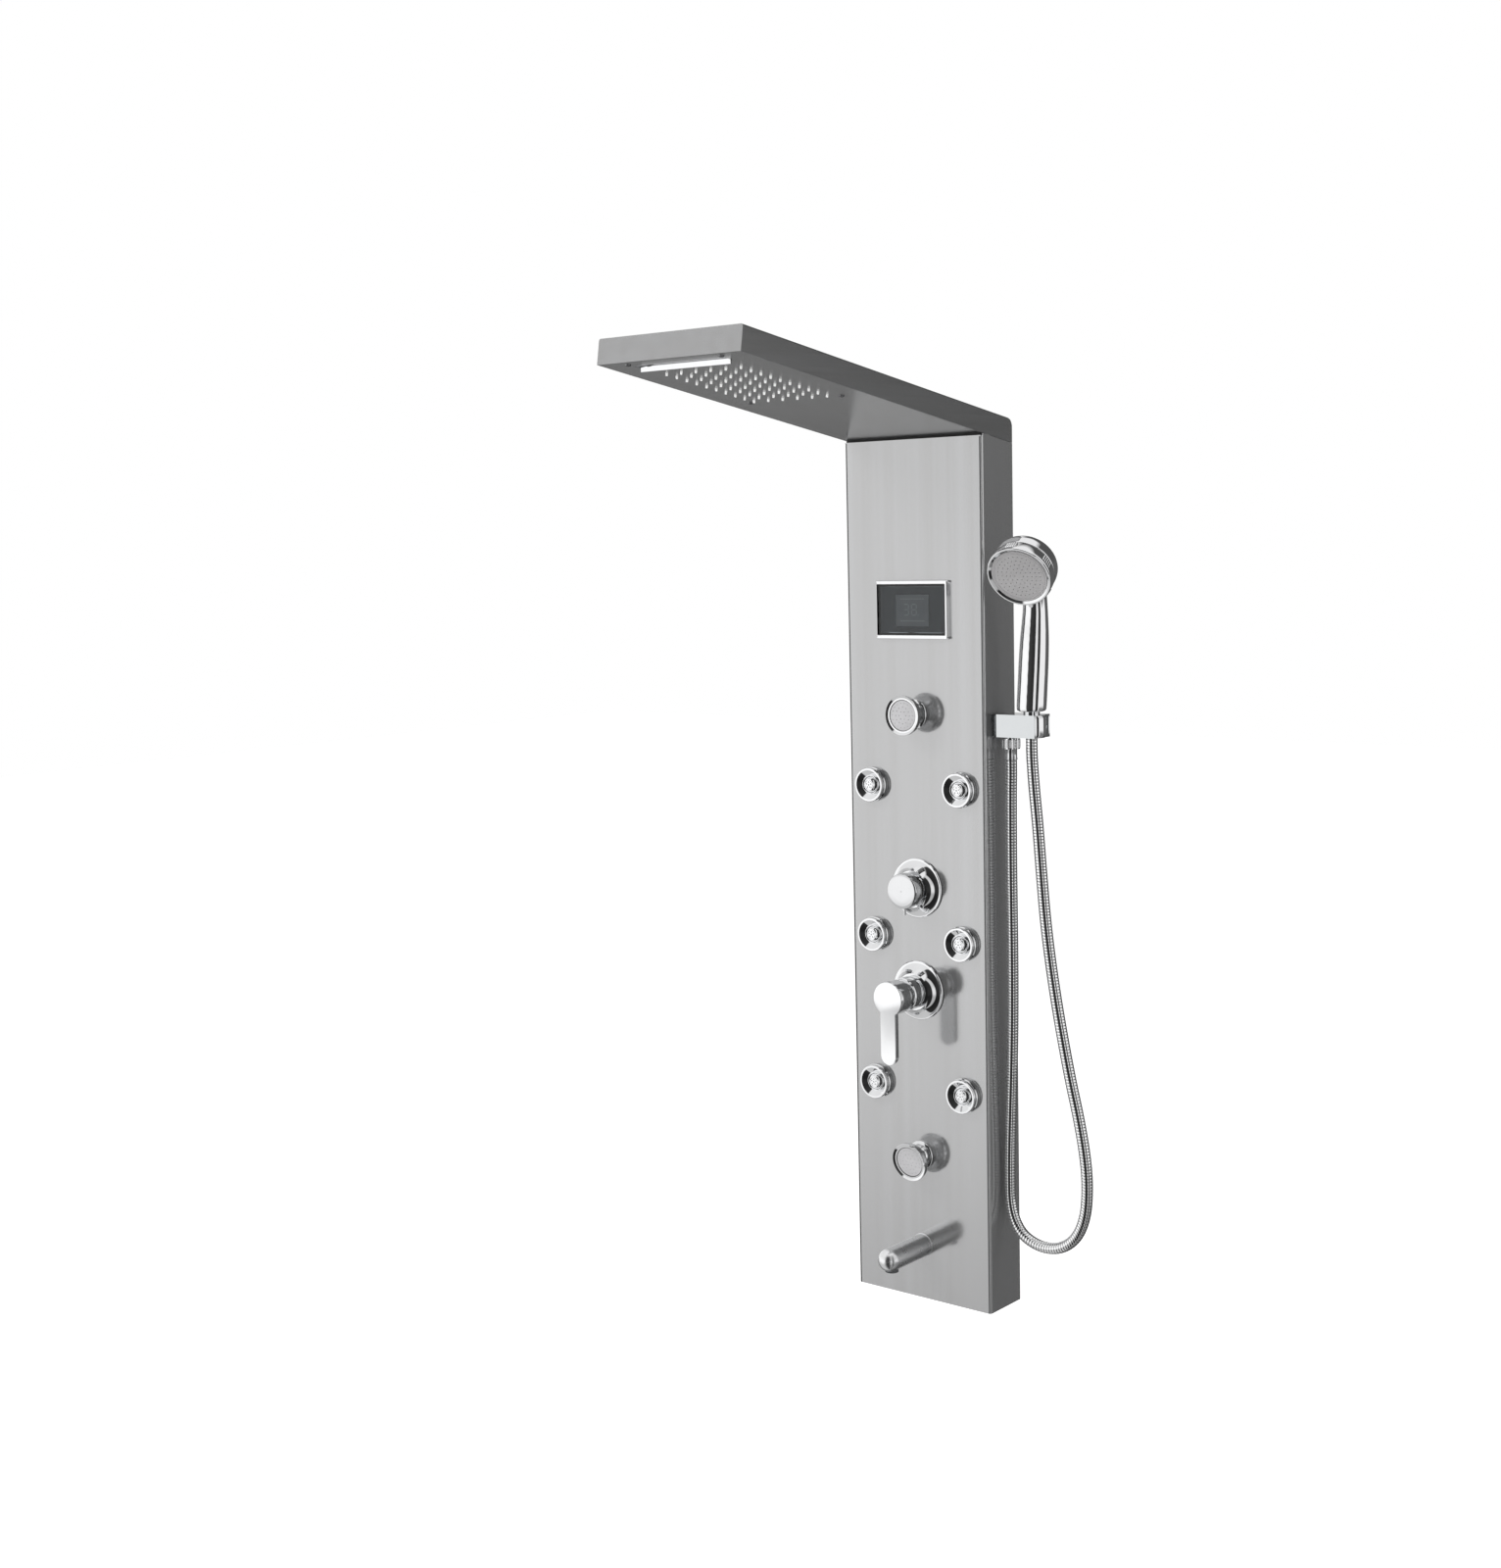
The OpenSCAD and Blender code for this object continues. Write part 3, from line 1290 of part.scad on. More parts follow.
module jet_rails() {
    for (side = [-1, 1])
        jet_rail(side);
    on_front(-jet_x, cross_pipe_z) translate([0, 0, rail_out]) rotate([0, 90, 0])
        cylinder(r = 5, h = 2 * jet_x);
    on_front(-jet_x, jet_tee_z) translate([0, 0, rail_out]) rotate([0, 90, 0]) cylinder(r = 5, h = 14);
}

module mixer_pipe() {
    foot = mixer_z + 26;
    top = diverter_z - div_body_r - 1;
    on_front(0, foot) translate([0, 0, valve_mid]) rotate([-90, 0, 0])
        tube(valve_port_r + 2, valve_port_r + run_gap, top - foot);
}

// First stretch of a hose, straight out of one of the diverter's outlets
function leaving(k) = [port(k, port_reach + seam), port(k, port_reach + 4), port(k, port_reach + 8)];

module rain_hoses() {
    foot = turbine_z - turbine_reach - seam;
    top = turbine_z + turbine_reach + seam;
    x = turbine_x + turbine_pipe_x;
    mid = sheet_t + mat_t + box_h / 2;
    spigot_end = rain_reach - box_l / 2 - rain_spigot - seam;
    water_hose(behind(concat(leaving(2), [[-19, diverter_z + 65, -25], [-23, diverter_z + 102, -28],
        [x, foot - 84, turbine_out], [x, foot - 24, turbine_out], [x, foot, turbine_out]])),
        hose_r, [1, 0, 0]);
    water_hose(concat(behind([[x, top, turbine_out], [x, top + 8, turbine_out], [x, top + 20, turbine_out],
        [-27, top + 74, -30], [-spigot_x, column_h - 80, -31], [-spigot_x, column_h - 25, -31],
        [-spigot_x, column_h - 8, -30]]), [in_head(-spigot_x, -22, 5), in_head(-spigot_x, -8, mid),
        in_head(-spigot_x, 12, mid), in_head(-spigot_x, spigot_end - 100, mid),
        in_head(-spigot_x, spigot_end, mid)]), hose_r, [1, 0, 0]);
}

module waterfall_hose() {
    spigot_end = fall_back - 11 - seam;
    water_hose(concat(behind(concat(leaving(1), [[20, diverter_z + 65, -25], [24, diverter_z + 102, -28],
        [26, diverter_z + 202, -30], [28, diverter_z + 342, -30], [spigot_x, column_h - 80, -31],
        [spigot_x, column_h - 25, -31], [spigot_x, column_h - 8, -30]])),
        [in_head(spigot_x, -20, 8), in_head(spigot_x, -4, 15), in_head(spigot_x, 14, fall_spigot_v),
        in_head(spigot_x, spigot_end - 180, fall_spigot_v), in_head(spigot_x, spigot_end, fall_spigot_v)]),
        hose_r, [1, 0, 0]);
}

module jet_hose() {
    water_hose(behind(concat(leaving(3), [[-42, diverter_z + 24, -32], [-47, diverter_z + 29, -42],
        [-jet_x + 14 + seam, jet_tee_z, rail_out]])), hose_r, [0, 1, 0]);
}

module bracket_hose() {
    out = -column_d - side_y;
    end = half_w - bracket_tail - seam;
    water_hose(behind(concat(leaving(0), [[43, diverter_z + 34, -27], [43, diverter_z + 82, -30],
        [42, bracket_z - 59, -33], [46, bracket_z - 24, -33], [end - 20, bracket_z - 4, out],
        [end - 9, bracket_z, out], [end - 4, bracket_z, out], [end, bracket_z, out]])), hose_r, [0, 1, 0]);
}

module spout_hose() {
    tail = valve_mid - seam;
    water_hose(behind(concat(leaving(4), [[-46, diverter_z - 28, -26], [-50, diverter_z - 58, -30],
        [-50, mixer_z - 11, -33], [-50, jet_low_z + 32, -33], [-49, lower_spray_z + 17, -36],
        [-42, spout_z + 62, -41], [-26, spout_z + 22, -46], [-8, spout_z + 3, -44], [0, spout_z, tail - 12],
        [0, spout_z, tail - 6], [0, spout_z, tail]])), hose_r, [0.6, 0.8, 0]);
}

// Last stretch of a hose, straight into the back of a swivel spray
function into_spray(z) = [[18, z, -47], [4, z, -45], [0, z, spray_tail_end - 12],
    [0, z, spray_tail_end - 6], [0, z, spray_tail_end - seam]];

module spray_hoses() {
    high = jet_low_z + 2 * jet_pitch + 10;
    low = jet_low_z - 10;
    water_hose(behind(concat([[jet_x, high, rail_out], [jet_x, high + 14, rail_out],
        [60, high + 38, rail_out], [42, upper_spray_z - 9, -47]], into_spray(upper_spray_z))),
        hose_r, [0.6, 0.8, 0]);
    water_hose(behind(concat([[jet_x, low, rail_out], [jet_x, low - 14, rail_out], [58, low - 38, -47],
        [40, lower_spray_z + 9, -47]], into_spray(lower_spray_z))), hose_r, [0.6, 0.8, 0]);
}

module water_pipes() {
    color(WHITE_PLASTIC) {
        jet_rails();
        mixer_pipe();
        rain_hoses();
        waterfall_hose();
        jet_hose();
        bracket_hose();
        spout_hose();
        spray_hoses();
    }
}

column_shell();
wall_rail();
head_shell();
head_plate();
head_rails();
head_screws();
head_seal();
rain_box();
rain_nozzles();
waterfall_box();
display_bezel();
display_glass();
display_module();
generator_housing();
generator_rotor();
mixer_body();
mixer_cartridge();
cartridge_turret();
cartridge_stem();
mixer_sleeve();
mixer_lever();
valve_flanges();
diverter_body();
diverter_cartridge();
diverter_spindle();
diverter_knob();
jet_housings();
jet_tails();
jet_seat(0);  // jet_seat_1
jet_seat(1);  // jet_seat_2
jet_seat(2);  // jet_seat_3
jet_seat(3);  // jet_seat_4
jet_seat(4);  // jet_seat_5
jet_seat(5);  // jet_seat_6
jet_ball(0);  // jet_ball_1
jet_ball(1);  // jet_ball_2
jet_ball(2);  // jet_ball_3
jet_ball(3);  // jet_ball_4
jet_ball(4);  // jet_ball_5
jet_ball(5);  // jet_ball_6
ring_nuts();
spray_bases();
spray_seat(upper_spray_z);  // spray_seat_upper
spray_seat(lower_spray_z);  // spray_seat_lower
on_front(0, upper_spray_z) spray_head();  // spray_head_upper
on_front(0, lower_spray_z) tilted(lower_tilt) spray_head();  // spray_head_lower
on_front(0, upper_spray_z) spray_plate();  // spray_plate_upper
on_front(0, lower_spray_z) tilted(lower_tilt) spray_plate();  // spray_plate_lower
tub_spout();
spout_aerator();
outlet_bracket();
bracket_cap();
handset();
selector_ring();
handset_plate();
cone_nut();
hose();
hose_nut();
hose_ferrule();
water_pipes();
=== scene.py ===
"""Looks of the wall-hung shower panel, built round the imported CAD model.

Lengths in the tables are millimetres, as in the CAD source, and MM turns them into metres.
"""
import json
import math

import bmesh
import bpy
from mathutils import Matrix, Vector


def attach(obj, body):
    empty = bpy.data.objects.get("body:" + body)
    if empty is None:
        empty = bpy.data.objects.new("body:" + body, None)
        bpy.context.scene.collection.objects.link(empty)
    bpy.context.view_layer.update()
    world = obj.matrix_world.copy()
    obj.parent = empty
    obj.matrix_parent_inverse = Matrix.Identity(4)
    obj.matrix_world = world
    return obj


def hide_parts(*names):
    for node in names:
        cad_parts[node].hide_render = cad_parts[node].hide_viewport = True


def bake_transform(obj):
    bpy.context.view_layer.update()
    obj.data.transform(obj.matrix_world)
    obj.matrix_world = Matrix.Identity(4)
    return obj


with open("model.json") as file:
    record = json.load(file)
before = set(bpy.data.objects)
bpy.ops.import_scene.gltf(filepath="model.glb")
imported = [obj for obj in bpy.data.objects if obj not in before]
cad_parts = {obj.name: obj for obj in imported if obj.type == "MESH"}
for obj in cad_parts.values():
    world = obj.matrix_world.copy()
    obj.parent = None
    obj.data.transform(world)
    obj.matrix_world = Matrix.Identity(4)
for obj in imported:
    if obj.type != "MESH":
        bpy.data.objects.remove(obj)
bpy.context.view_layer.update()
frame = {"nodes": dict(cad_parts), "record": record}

MM = 0.001

# Values shared with the CAD source, whose heights start at the column's foot. The frame's start at the
# wall rail.
HANG_H = 940.0
COLUMN_D = 66.0
HALF_W = 100.0
# Height and slope of the head's underside where it leaves the column
HEAD_FOOT = 1063.0
HEAD_TILT = 9.2
DISPLAY_Z = 857.0
# Bracket on the column's right side, and the hand shower's foot, turn and lean in it
SIDE_Y = -33.0
BRACKET_Z = 719.5
SOCKET_X = 44.6
HANDLE_FOOT = 18.0
HANDLE_TURN = 10.6
HANDLE_LEAN = 2.0
# Centre of the shower's face, from the handle's foot, and its tilt
FACE_AT = (0, -49, 158)
FACE_TILT = 31.5
# The hose's centreline, from the bracket down, round its lowest point and up to the hand shower
HOSE_D = 14.0
HOSE_ROUTE = [
    (115.7, -33, 677.5), (115.7, -33, 660), (115.2, -33, 640), (114.8, -33, 600), (114.6, -33, 550),
    (114.8, -33, 500), (115, -33, 450), (114.8, -33, 400), (114, -33, 350), (112.8, -33.5, 300),
    (111, -34, 250), (109.6, -34.5, 205), (109.2, -35, 165), (110.2, -35, 136), (116, -35, 114),
    (127, -35, 98.5), (143, -35, 90), (161, -35, 87.5), (180, -35, 91.5), (197, -35, 103),
    (209, -35, 121), (216, -35, 146), (217.5, -35, 180), (214, -35, 215), (206, -34.5, 255),
    (195, -34, 300), (185.5, -34, 345), (176.5, -33.5, 390), (168, -33, 440), (161.5, -33, 490),
    (156.5, -33, 545), (152, -33, 600), (147.5, -33, 645), (145.2, -33, 675), (144.6, -33, 690),
    (144.6, -33, 706)]


# Camera, fitted to the photograph: focal length in its pixels, place in metres, angles in degrees

PHOTO_W = 1532.0
FOCAL_PX = 2169.8
SENSOR = 36.0
CAMERA_AT = (1.4925, -2.1645, -0.0003)
CAMERA_YAW = -39.902
CAMERA_PITCH = 6.429
CAMERA_ROLL = 1.354


def make_camera():
    """Looks down by the pitch, along the yaw from +Y towards +X, and leans by the roll."""
    yaw, pitch, roll = (math.radians(a) for a in (CAMERA_YAW, CAMERA_PITCH, CAMERA_ROLL))
    forward = Vector((math.sin(yaw) * math.cos(pitch), math.cos(yaw) * math.cos(pitch), -math.sin(pitch)))
    right = Vector((math.cos(yaw), -math.sin(yaw), 0))
    down = forward.cross(right)
    across = math.cos(roll) * right + math.sin(roll) * down
    drop = math.cos(roll) * down - math.sin(roll) * right
    facing = Matrix((across, -drop, -forward)).transposed().to_4x4()
    data = bpy.data.cameras.new("camera")
    data.sensor_fit = "HORIZONTAL"
    data.sensor_width = SENSOR
    data.lens = FOCAL_PX / PHOTO_W * SENSOR
    data.clip_end = 60
    camera = bpy.data.objects.new("camera", data)
    bpy.context.scene.collection.objects.link(camera)
    camera.matrix_world = Matrix.Translation(CAMERA_AT) @ facing
    bpy.context.scene.camera = camera


make_camera()


# Materials

def new_material(name):
    """A material with its node tree and its Principled shader."""
    material = bpy.data.materials.new(name)
    material.use_nodes = True
    tree = material.node_tree
    return material, tree, tree.nodes["Principled BSDF"]


def add_node(tree, kind, **values):
    """A node with its inputs or its settings given by name."""
    node = tree.nodes.new(kind)
    for key, value in values.items():
        if key in node.inputs:
            node.inputs[key].default_value = value
        else:
            setattr(node, key, value)
    return node


def scaled_noise(tree, scale, detail, roughness=0.5):
    """Noise in object space, stretched by the three scales."""
    coords = add_node(tree, "ShaderNodeTexCoord")
    mapping = add_node(tree, "ShaderNodeMapping")
    mapping.inputs["Scale"].default_value = scale
    noise = add_node(tree, "ShaderNodeTexNoise", Scale=1.0, Detail=detail, Roughness=roughness)
    tree.links.new(coords.outputs["Object"], mapping.inputs["Vector"])
    tree.links.new(mapping.outputs["Vector"], noise.inputs["Vector"])
    return noise.outputs["Fac"]


def ranged(tree, value, low, high, start=0.3, end=0.7):
    """A value spread from low to high while it goes from start to end."""
    node = add_node(tree, "ShaderNodeMapRange")
    node.inputs["From Min"].default_value = start
    node.inputs["From Max"].default_value = end
    node.inputs["To Min"].default_value = low
    node.inputs["To Max"].default_value = high
    tree.links.new(value, node.inputs["Value"])
    return node.outputs["Result"]


def mixed(tree, factor, first, second):
    """A colour between two colours."""
    node = add_node(tree, "ShaderNodeMix", data_type="RGBA")
    node.inputs[6].default_value = (*first, 1)
    node.inputs[7].default_value = (*second, 1)
    tree.links.new(factor, node.inputs[0])
    return node.outputs[2]


def bumped(tree, shader, height, strength, distance):
    """Relief on the shader, its distance in metres."""
    bump = add_node(tree, "ShaderNodeBump", Strength=strength, Distance=distance)
    tree.links.new(height, bump.inputs["Height"])
    tree.links.new(bump.outputs["Normal"], shader.inputs["Normal"])


def brushed_steel(name, grain, tone=0.53, rough=(0.1, 0.16), metallic=0.78):
    """Bright stainless sheet with a fine grain. The small scale lies along the brushing.

    It isn't all metal, so that it keeps a grey of its own where it mirrors something dark.
    """
    material, tree, shader = new_material(name)
    shader.inputs["Metallic"].default_value = metallic
    fine = scaled_noise(tree, grain, 3.0, 0.6)
    broad = scaled_noise(tree, tuple(g * 0.06 for g in grain), 2.0)
    dark, light = (tone * 0.96,) * 3, (tone * 1.03, tone * 1.035, tone * 1.045)
    tree.links.new(mixed(tree, ranged(tree, broad, 0.0, 1.0), dark, light), shader.inputs["Base Color"])
    tree.links.new(ranged(tree, fine, *rough), shader.inputs["Roughness"])
    bumped(tree, shader, fine, 0.05, 0.00004)
    return material


def polished(name, color=(0.9, 0.905, 0.915), rough=(0.02, 0.05), bump=0.012):
    """Chrome plating with a faint waviness and fine wipe marks."""
    material, tree, shader = new_material(name)
    shader.inputs["Metallic"].default_value = 1.0
    marks = scaled_noise(tree, (90, 90, 90), 4.0, 0.65)
    tree.links.new(mixed(tree, ranged(tree, marks, 0, 1), tuple(c * 0.975 for c in color), color),
                   shader.inputs["Base Color"])
    tree.links.new(ranged(tree, marks, *rough), shader.inputs["Roughness"])
    wave = scaled_noise(tree, (26, 26, 26), 1.0)
    bumped(tree, shader, wave, bump, 0.001)
    return material


def moulded(name, color, rough=0.45, grain=900, bump=0.12):
    """Moulded or soft material with a fine skin and a slight variation of tone."""
    material, tree, shader = new_material(name)
    broad = scaled_noise(tree, (30, 30, 30), 2.0)
    tree.links.new(mixed(tree, ranged(tree, broad, 0, 1), tuple(c * 0.93 for c in color),
                         tuple(min(1.0, c * 1.05) for c in color)), shader.inputs["Base Color"])
    skin = scaled_noise(tree, (grain,) * 3, 3.0)
    tree.links.new(ranged(tree, skin, rough - 0.06, rough + 0.08), shader.inputs["Roughness"])
    bumped(tree, shader, skin, bump, 0.0002)
    return material


def cast_metal(name, color, rough=0.32):
    """Turned or cast metal with tool marks and slight stains."""
    material, tree, shader = new_material(name)
    shader.inputs["Metallic"].default_value = 1.0
    stain = scaled_noise(tree, (60, 60, 60), 4.0, 0.6)
    tree.links.new(mixed(tree, ranged(tree, stain, 0, 1), tuple(c * 0.82 for c in color), color),
                   shader.inputs["Base Color"])
    marks = scaled_noise(tree, (500, 120, 500), 3.0)
    tree.links.new(ranged(tree, marks, rough - 0.08, rough + 0.12), shader.inputs["Roughness"])
    bumped(tree, shader, marks, 0.1, 0.0002)
    return material


def smoked_glass(name):
    """Grey glass with faint smears."""
    material, tree, shader = new_material(name)
    shader.inputs["Transmission Weight"].default_value = 1.0
    shader.inputs["IOR"].default_value = 1.5
    smear = scaled_noise(tree, (70, 40, 70), 3.0)
    tree.links.new(mixed(tree, ranged(tree, smear, 0, 1), (0.33, 0.37, 0.4), (0.37, 0.41, 0.44)),
                   shader.inputs["Base Color"])
    tree.links.new(ranged(tree, smear, 0.0, 0.03), shader.inputs["Roughness"])
    return material


MATERIALS = {
    "stainless": brushed_steel("stainless", (900, 900, 7)),
    "head_steel": brushed_steel("head_steel", (900, 7, 900), 0.43, (0.2, 0.27), 0.9),
    "zinc_steel": cast_metal("zinc_steel", (0.45, 0.45, 0.46), 0.38),
    "chrome": polished("chrome"),
    "jet_chrome": polished("jet_chrome"),
    "hose_steel": polished("hose_steel", (0.93, 0.935, 0.94), (0.03, 0.07), 0.02),
    # Painted shade in the hose's grooves: the same steel drawn nearly black
    "hose_painted_shade": polished("hose_painted_shade", (0.1, 0.1, 0.105), (0.25, 0.4), 0.02),
    "plated_plastic": polished("plated_plastic", (0.9, 0.9, 0.91), (0.025, 0.06), 0.02),
    "grey_plate": moulded("grey_plate", (0.57, 0.56, 0.565), 0.42),
    "brass": cast_metal("brass", (0.72, 0.55, 0.28)),
    "rubber": moulded("rubber", (0.03, 0.03, 0.03), 0.6, 700, 0.2),
    "silicone": moulded("silicone", (0.96, 0.96, 0.95), 0.35, 700, 0.05),
    "white_plastic": moulded("white_plastic", (0.78, 0.78, 0.76), 0.4),
    "grey_plastic": moulded("grey_plastic", (0.09, 0.095, 0.1), 0.5),
    "smoked_glass": smoked_glass("smoked_glass"),
}
SPRAY_PLATE = moulded("spray_plate", (0.7, 0.695, 0.71), 0.38, 900, 0.05)
SCREW_STEEL = polished("screw_steel", (0.3, 0.3, 0.31), (0.2, 0.35))
SPOUT_CHROME = polished("spout_chrome", (0.93, 0.935, 0.945), (0.26, 0.32))
BRACKET_CHROME = polished("bracket_chrome", (0.66, 0.68, 0.69), (0.05, 0.09))
LEVER_CHROME = polished("lever_chrome", (0.985, 0.99, 1.0))
KNOB_CHROME = polished("knob_chrome", (0.8, 0.805, 0.815))
LCD = moulded("lcd", (0.38, 0.385, 0.39), 0.35, 1200, 0.02)
DIGIT = moulded("digit", (0.62, 0.63, 0.64), 0.4, 1200, 0.02)
# Nearly black steel for the column's left fold: painted shade along that edge
FOLD_SHADE_STEEL = brushed_steel("painted_fold_shade", (900, 900, 7), 0.07)

SLOT_OF = {row["node"]: row["material_slot"] for row in frame["record"]["subparts"]}
BODY_OF = {node: body for body, nodes in frame["record"]["behaviour"]["bodies"].items() for node in nodes}


# Places on the object, in millimetres

def place(x=0.0, y=0.0, z=0.0):
    return Matrix.Translation((x, y, z))


def turn(degrees, axis):
    return Matrix.Rotation(math.radians(degrees), 4, axis)


def on_front(x, z):
    """On the column's front, with z pointing out of it."""
    return place(x, -COLUMN_D, z - HANG_H) @ turn(90, "X")


def on_head():
    """At the foot of the head's underside, with y running back along its slope."""
    return place(0, -COLUMN_D, HEAD_FOOT - HANG_H) @ turn(-HEAD_TILT, "X")


def in_bracket():
    return place(HALF_W, SIDE_Y, BRACKET_Z - HANG_H)


def in_handle():
    foot = place(HALF_W + SOCKET_X, SIDE_Y, BRACKET_Z - HANG_H + HANDLE_FOOT)
    return foot @ turn(HANDLE_TURN, "Z") @ turn(HANDLE_LEAN, "Y")


def handle_to_face():
    return place(*FACE_AT) @ turn(90 + FACE_TILT, "X")


def in_face():
    """In the middle of the hand shower's face, with z pointing out of it."""
    return in_handle() @ handle_to_face()


# Mesh helpers

def link(name, mesh):
    obj = bpy.data.objects.new(name, mesh)
    bpy.context.scene.collection.objects.link(obj)
    return obj


def sharpen(bm, degrees):
    """Smooth faces, with every edge past the angle left sharp."""
    limit = math.radians(degrees)
    for face in bm.faces:
        face.smooth = True
    for edge in bm.edges:
        edge.smooth = len(edge.link_faces) == 2 and edge.calc_face_angle(0.0) < limit


def mesh_piece(name, build, matrix, material, body, angle=32):
    """A piece from a function that fills a bmesh in millimetres, in its own frame."""
    bm = bmesh.new()
    build(bm)
    bmesh.ops.recalc_face_normals(bm, faces=bm.faces)
    bmesh.ops.transform(bm, matrix=Matrix.Scale(MM, 4) @ matrix, verts=bm.verts)
    sharpen(bm, angle)
    mesh = bpy.data.meshes.new(name)
    bm.to_mesh(mesh)
    bm.free()
    mesh.materials.append(material)
    obj = link(name, mesh)
    if body:
        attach(obj, body)
    return obj


def add_lathe(bm, profile, segments=96, matrix=Matrix.Identity(4)):
    """Turned solid from [radius, height] points. A zero radius closes it."""
    rings = []
    for r, h in profile:
        if r < 1e-6:
            rings.append([bm.verts.new(matrix @ Vector((0, 0, h)))])
        else:
            rings.append([bm.verts.new(matrix @ Vector((r * math.cos(a), r * math.sin(a), h)))
                          for a in (2 * math.pi * k / segments for k in range(segments))])
    closed = profile[0][0] > 1e-6 and profile[-1][0] > 1e-6
    pairs = list(zip(rings, rings[1:])) + ([(rings[-1], rings[0])] if closed else [])
    for low, high in pairs:
        for k in range(segments):
            n = (k + 1) % segments
            if len(low) == 1 and len(high) == 1:
                continue
            if len(low) == 1:
                bm.faces.new((low[0], high[n], high[k]))
            elif len(high) == 1:
                bm.faces.new((low[k], low[n], high[0]))
            else:
                bm.faces.new((low[k], low[n], high[n], high[k]))


def catmull(points, i, t):
    """Point on the smooth curve through the points, at a share t of its stretch i."""
    a, b = points[max(i - 1, 0)], points[i]
    c, d = points[i + 1], points[min(i + 2, len(points) - 1)]
    square, cube = 2 * a - 5 * b + 4 * c - d, 3 * b - a - 3 * c + d
    return 0.5 * (2 * b + (c - a) * t + square * t * t + cube * t ** 3)


def smooth_line(points, steps):
    """A smooth curve through the points, with the same number of steps between each two."""
    points = [Vector(p) for p in points]
    line = [catmull(points, i, k / steps) for i in range(len(points) - 1) for k in range(steps)]
    return line + [points[-1]]


def resampled(line, step):
    """Points along a line at an even spacing, both ends kept."""
    sums = [0.0]
    for a, b in zip(line, line[1:]):
        sums.append(sums[-1] + (b - a).length)
    count = max(2, round(sums[-1] / step))
    result, i = [], 0
    for n in range(count + 1):
        s = sums[-1] * n / count
        while i < len(sums) - 2 and sums[i + 1] < s:
            i += 1
        result.append(line[i].lerp(line[i + 1], (s - sums[i]) / (sums[i + 1] - sums[i])))
    return result, sums[-1]


def add_tube(bm, line, radius, side, sides, first=None, last=None):
    """Tube along a line. radius(ring, side number) is in millimetres."""
    rings = []
    for i, centre in enumerate(line):
        direction = (line[min(i + 1, len(line) - 1)] - line[max(i - 1, 0)]).normalized()
        if i == 0 and first:
            direction = Vector(first)
        if i == len(line) - 1 and last:
            direction = Vector(last)
        u = Vector(side).cross(direction).normalized()
        w = direction.cross(u)
        rings.append([bm.verts.new(centre + radius(i, k) * (math.cos(2 * math.pi * k / sides) * u
                                                            + math.sin(2 * math.pi * k / sides) * w))
                      for k in range(sides)])
    for low, high in zip(rings, rings[1:]):
        for k in range(sides):
            n = (k + 1) % sides
            bm.faces.new((low[k], low[n], high[n], high[k]))
    bm.faces.new(list(reversed(rings[0])))
    bm.faces.new(rings[-1])


def dress(node, bevel=0.0, material=None, angle=32, shape=None):
    """A welded, smooth-shaded copy of a CAD node, with its edges broken by a small bevel."""
    slot = SLOT_OF[node]
    bm = bmesh.new()
    bm.from_mesh(frame["nodes"][node].data)
    bmesh.ops.remove_doubles(bm, verts=bm.verts, dist=2e-6)
    if shape:
        for vert in bm.verts:
            vert.co = shape(vert.co)
    bmesh.ops.dissolve_degenerate(bm, edges=bm.edges, dist=1e-6)
    sharpen(bm, angle)
    mesh = bpy.data.meshes.new(node + "_look")
    bm.to_mesh(mesh)
    bm.free()
    mesh.materials.append(material or MATERIALS[slot])
    obj = link(node + "_look", mesh)
    if bevel:
        edge = obj.modifiers.new("edges", "BEVEL")
        edge.width = bevel * MM
        edge.segments = 2
        edge.limit_method = "ANGLE"
        edge.angle_limit = math.radians(angle + 6)
        edge.harden_normals = True
        edge.use_clamp_overlap = True
    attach(obj, BODY_OF[node])
    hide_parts(node)
    return obj


# Shower hose with a spiral-wound skin

# Steps between two points of the route, and spacing of the points in the cord's path
ROUTE_STEPS = 6
PATH_STEP = 6.0
RIB_PITCH = 3.6
RIB_STEPS = 8
HOSE_SIDES = 20
RIB_DEPTH = 0.35
RIB_FLATNESS = 12
# Share of each turn that gets the painted shade of the winding's groove
PAINTED_SHADE_SHARE = 0.15


def rib_depth(phase):
    """Depth of the winding's groove at a share of one turn."""
    phase = phase % 1.0
    return RIB_DEPTH * (0.5 + 0.5 * math.cos(2 * math.pi * phase)) ** RIB_FLATNESS


def make_hose():
    """The hose, its centreline and its length, both in metres."""
    line = smooth_line([(x, y, z - HANG_H) for x, y, z in HOSE_ROUTE], ROUTE_STEPS)
    rings, length = resampled(line, RIB_PITCH / RIB_STEPS)
    turns = length / RIB_PITCH
    crest = HOSE_D / 2

    def radius(i, k):
        return crest - rib_depth(turns * i / (len(rings) - 1) + k / HOSE_SIDES)

    hose = mesh_piece("hose_winding", lambda bm: add_tube(bm, rings, radius, (0, 1, 0), HOSE_SIDES,
                                                          (0, 0, -1), (0, 0, 1)),
                      Matrix.Identity(4), MATERIALS["hose_steel"], None, 60)
    # Second surface: painted shade in the winding's grooves
    hose.data.materials.append(MATERIALS["hose_painted_shade"])
    rows = len(rings) - 1
    for number in range(rows * HOSE_SIDES):
        row, side = divmod(number, HOSE_SIDES)
        phase = (turns * (row + 0.5) / rows + (side + 0.5) / HOSE_SIDES) % 1.0
        hose.data.polygons[number].material_index = int(min(phase, 1 - phase) < PAINTED_SHADE_SHARE / 2)
    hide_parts("hose")
    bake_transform(hose)
    path, _ = resampled(line, PATH_STEP)
    return hose, [p * MM for p in path], length * MM


hose_nut = dress("hose_nut", 0.2)
hose_ferrule = dress("hose_ferrule", 0.15)
hose, hose_path, hose_length = make_hose()


# CAD nodes that get a better surface, and edges broken by the width given here. SHAPES holds the slight
# change of form that two of them get.

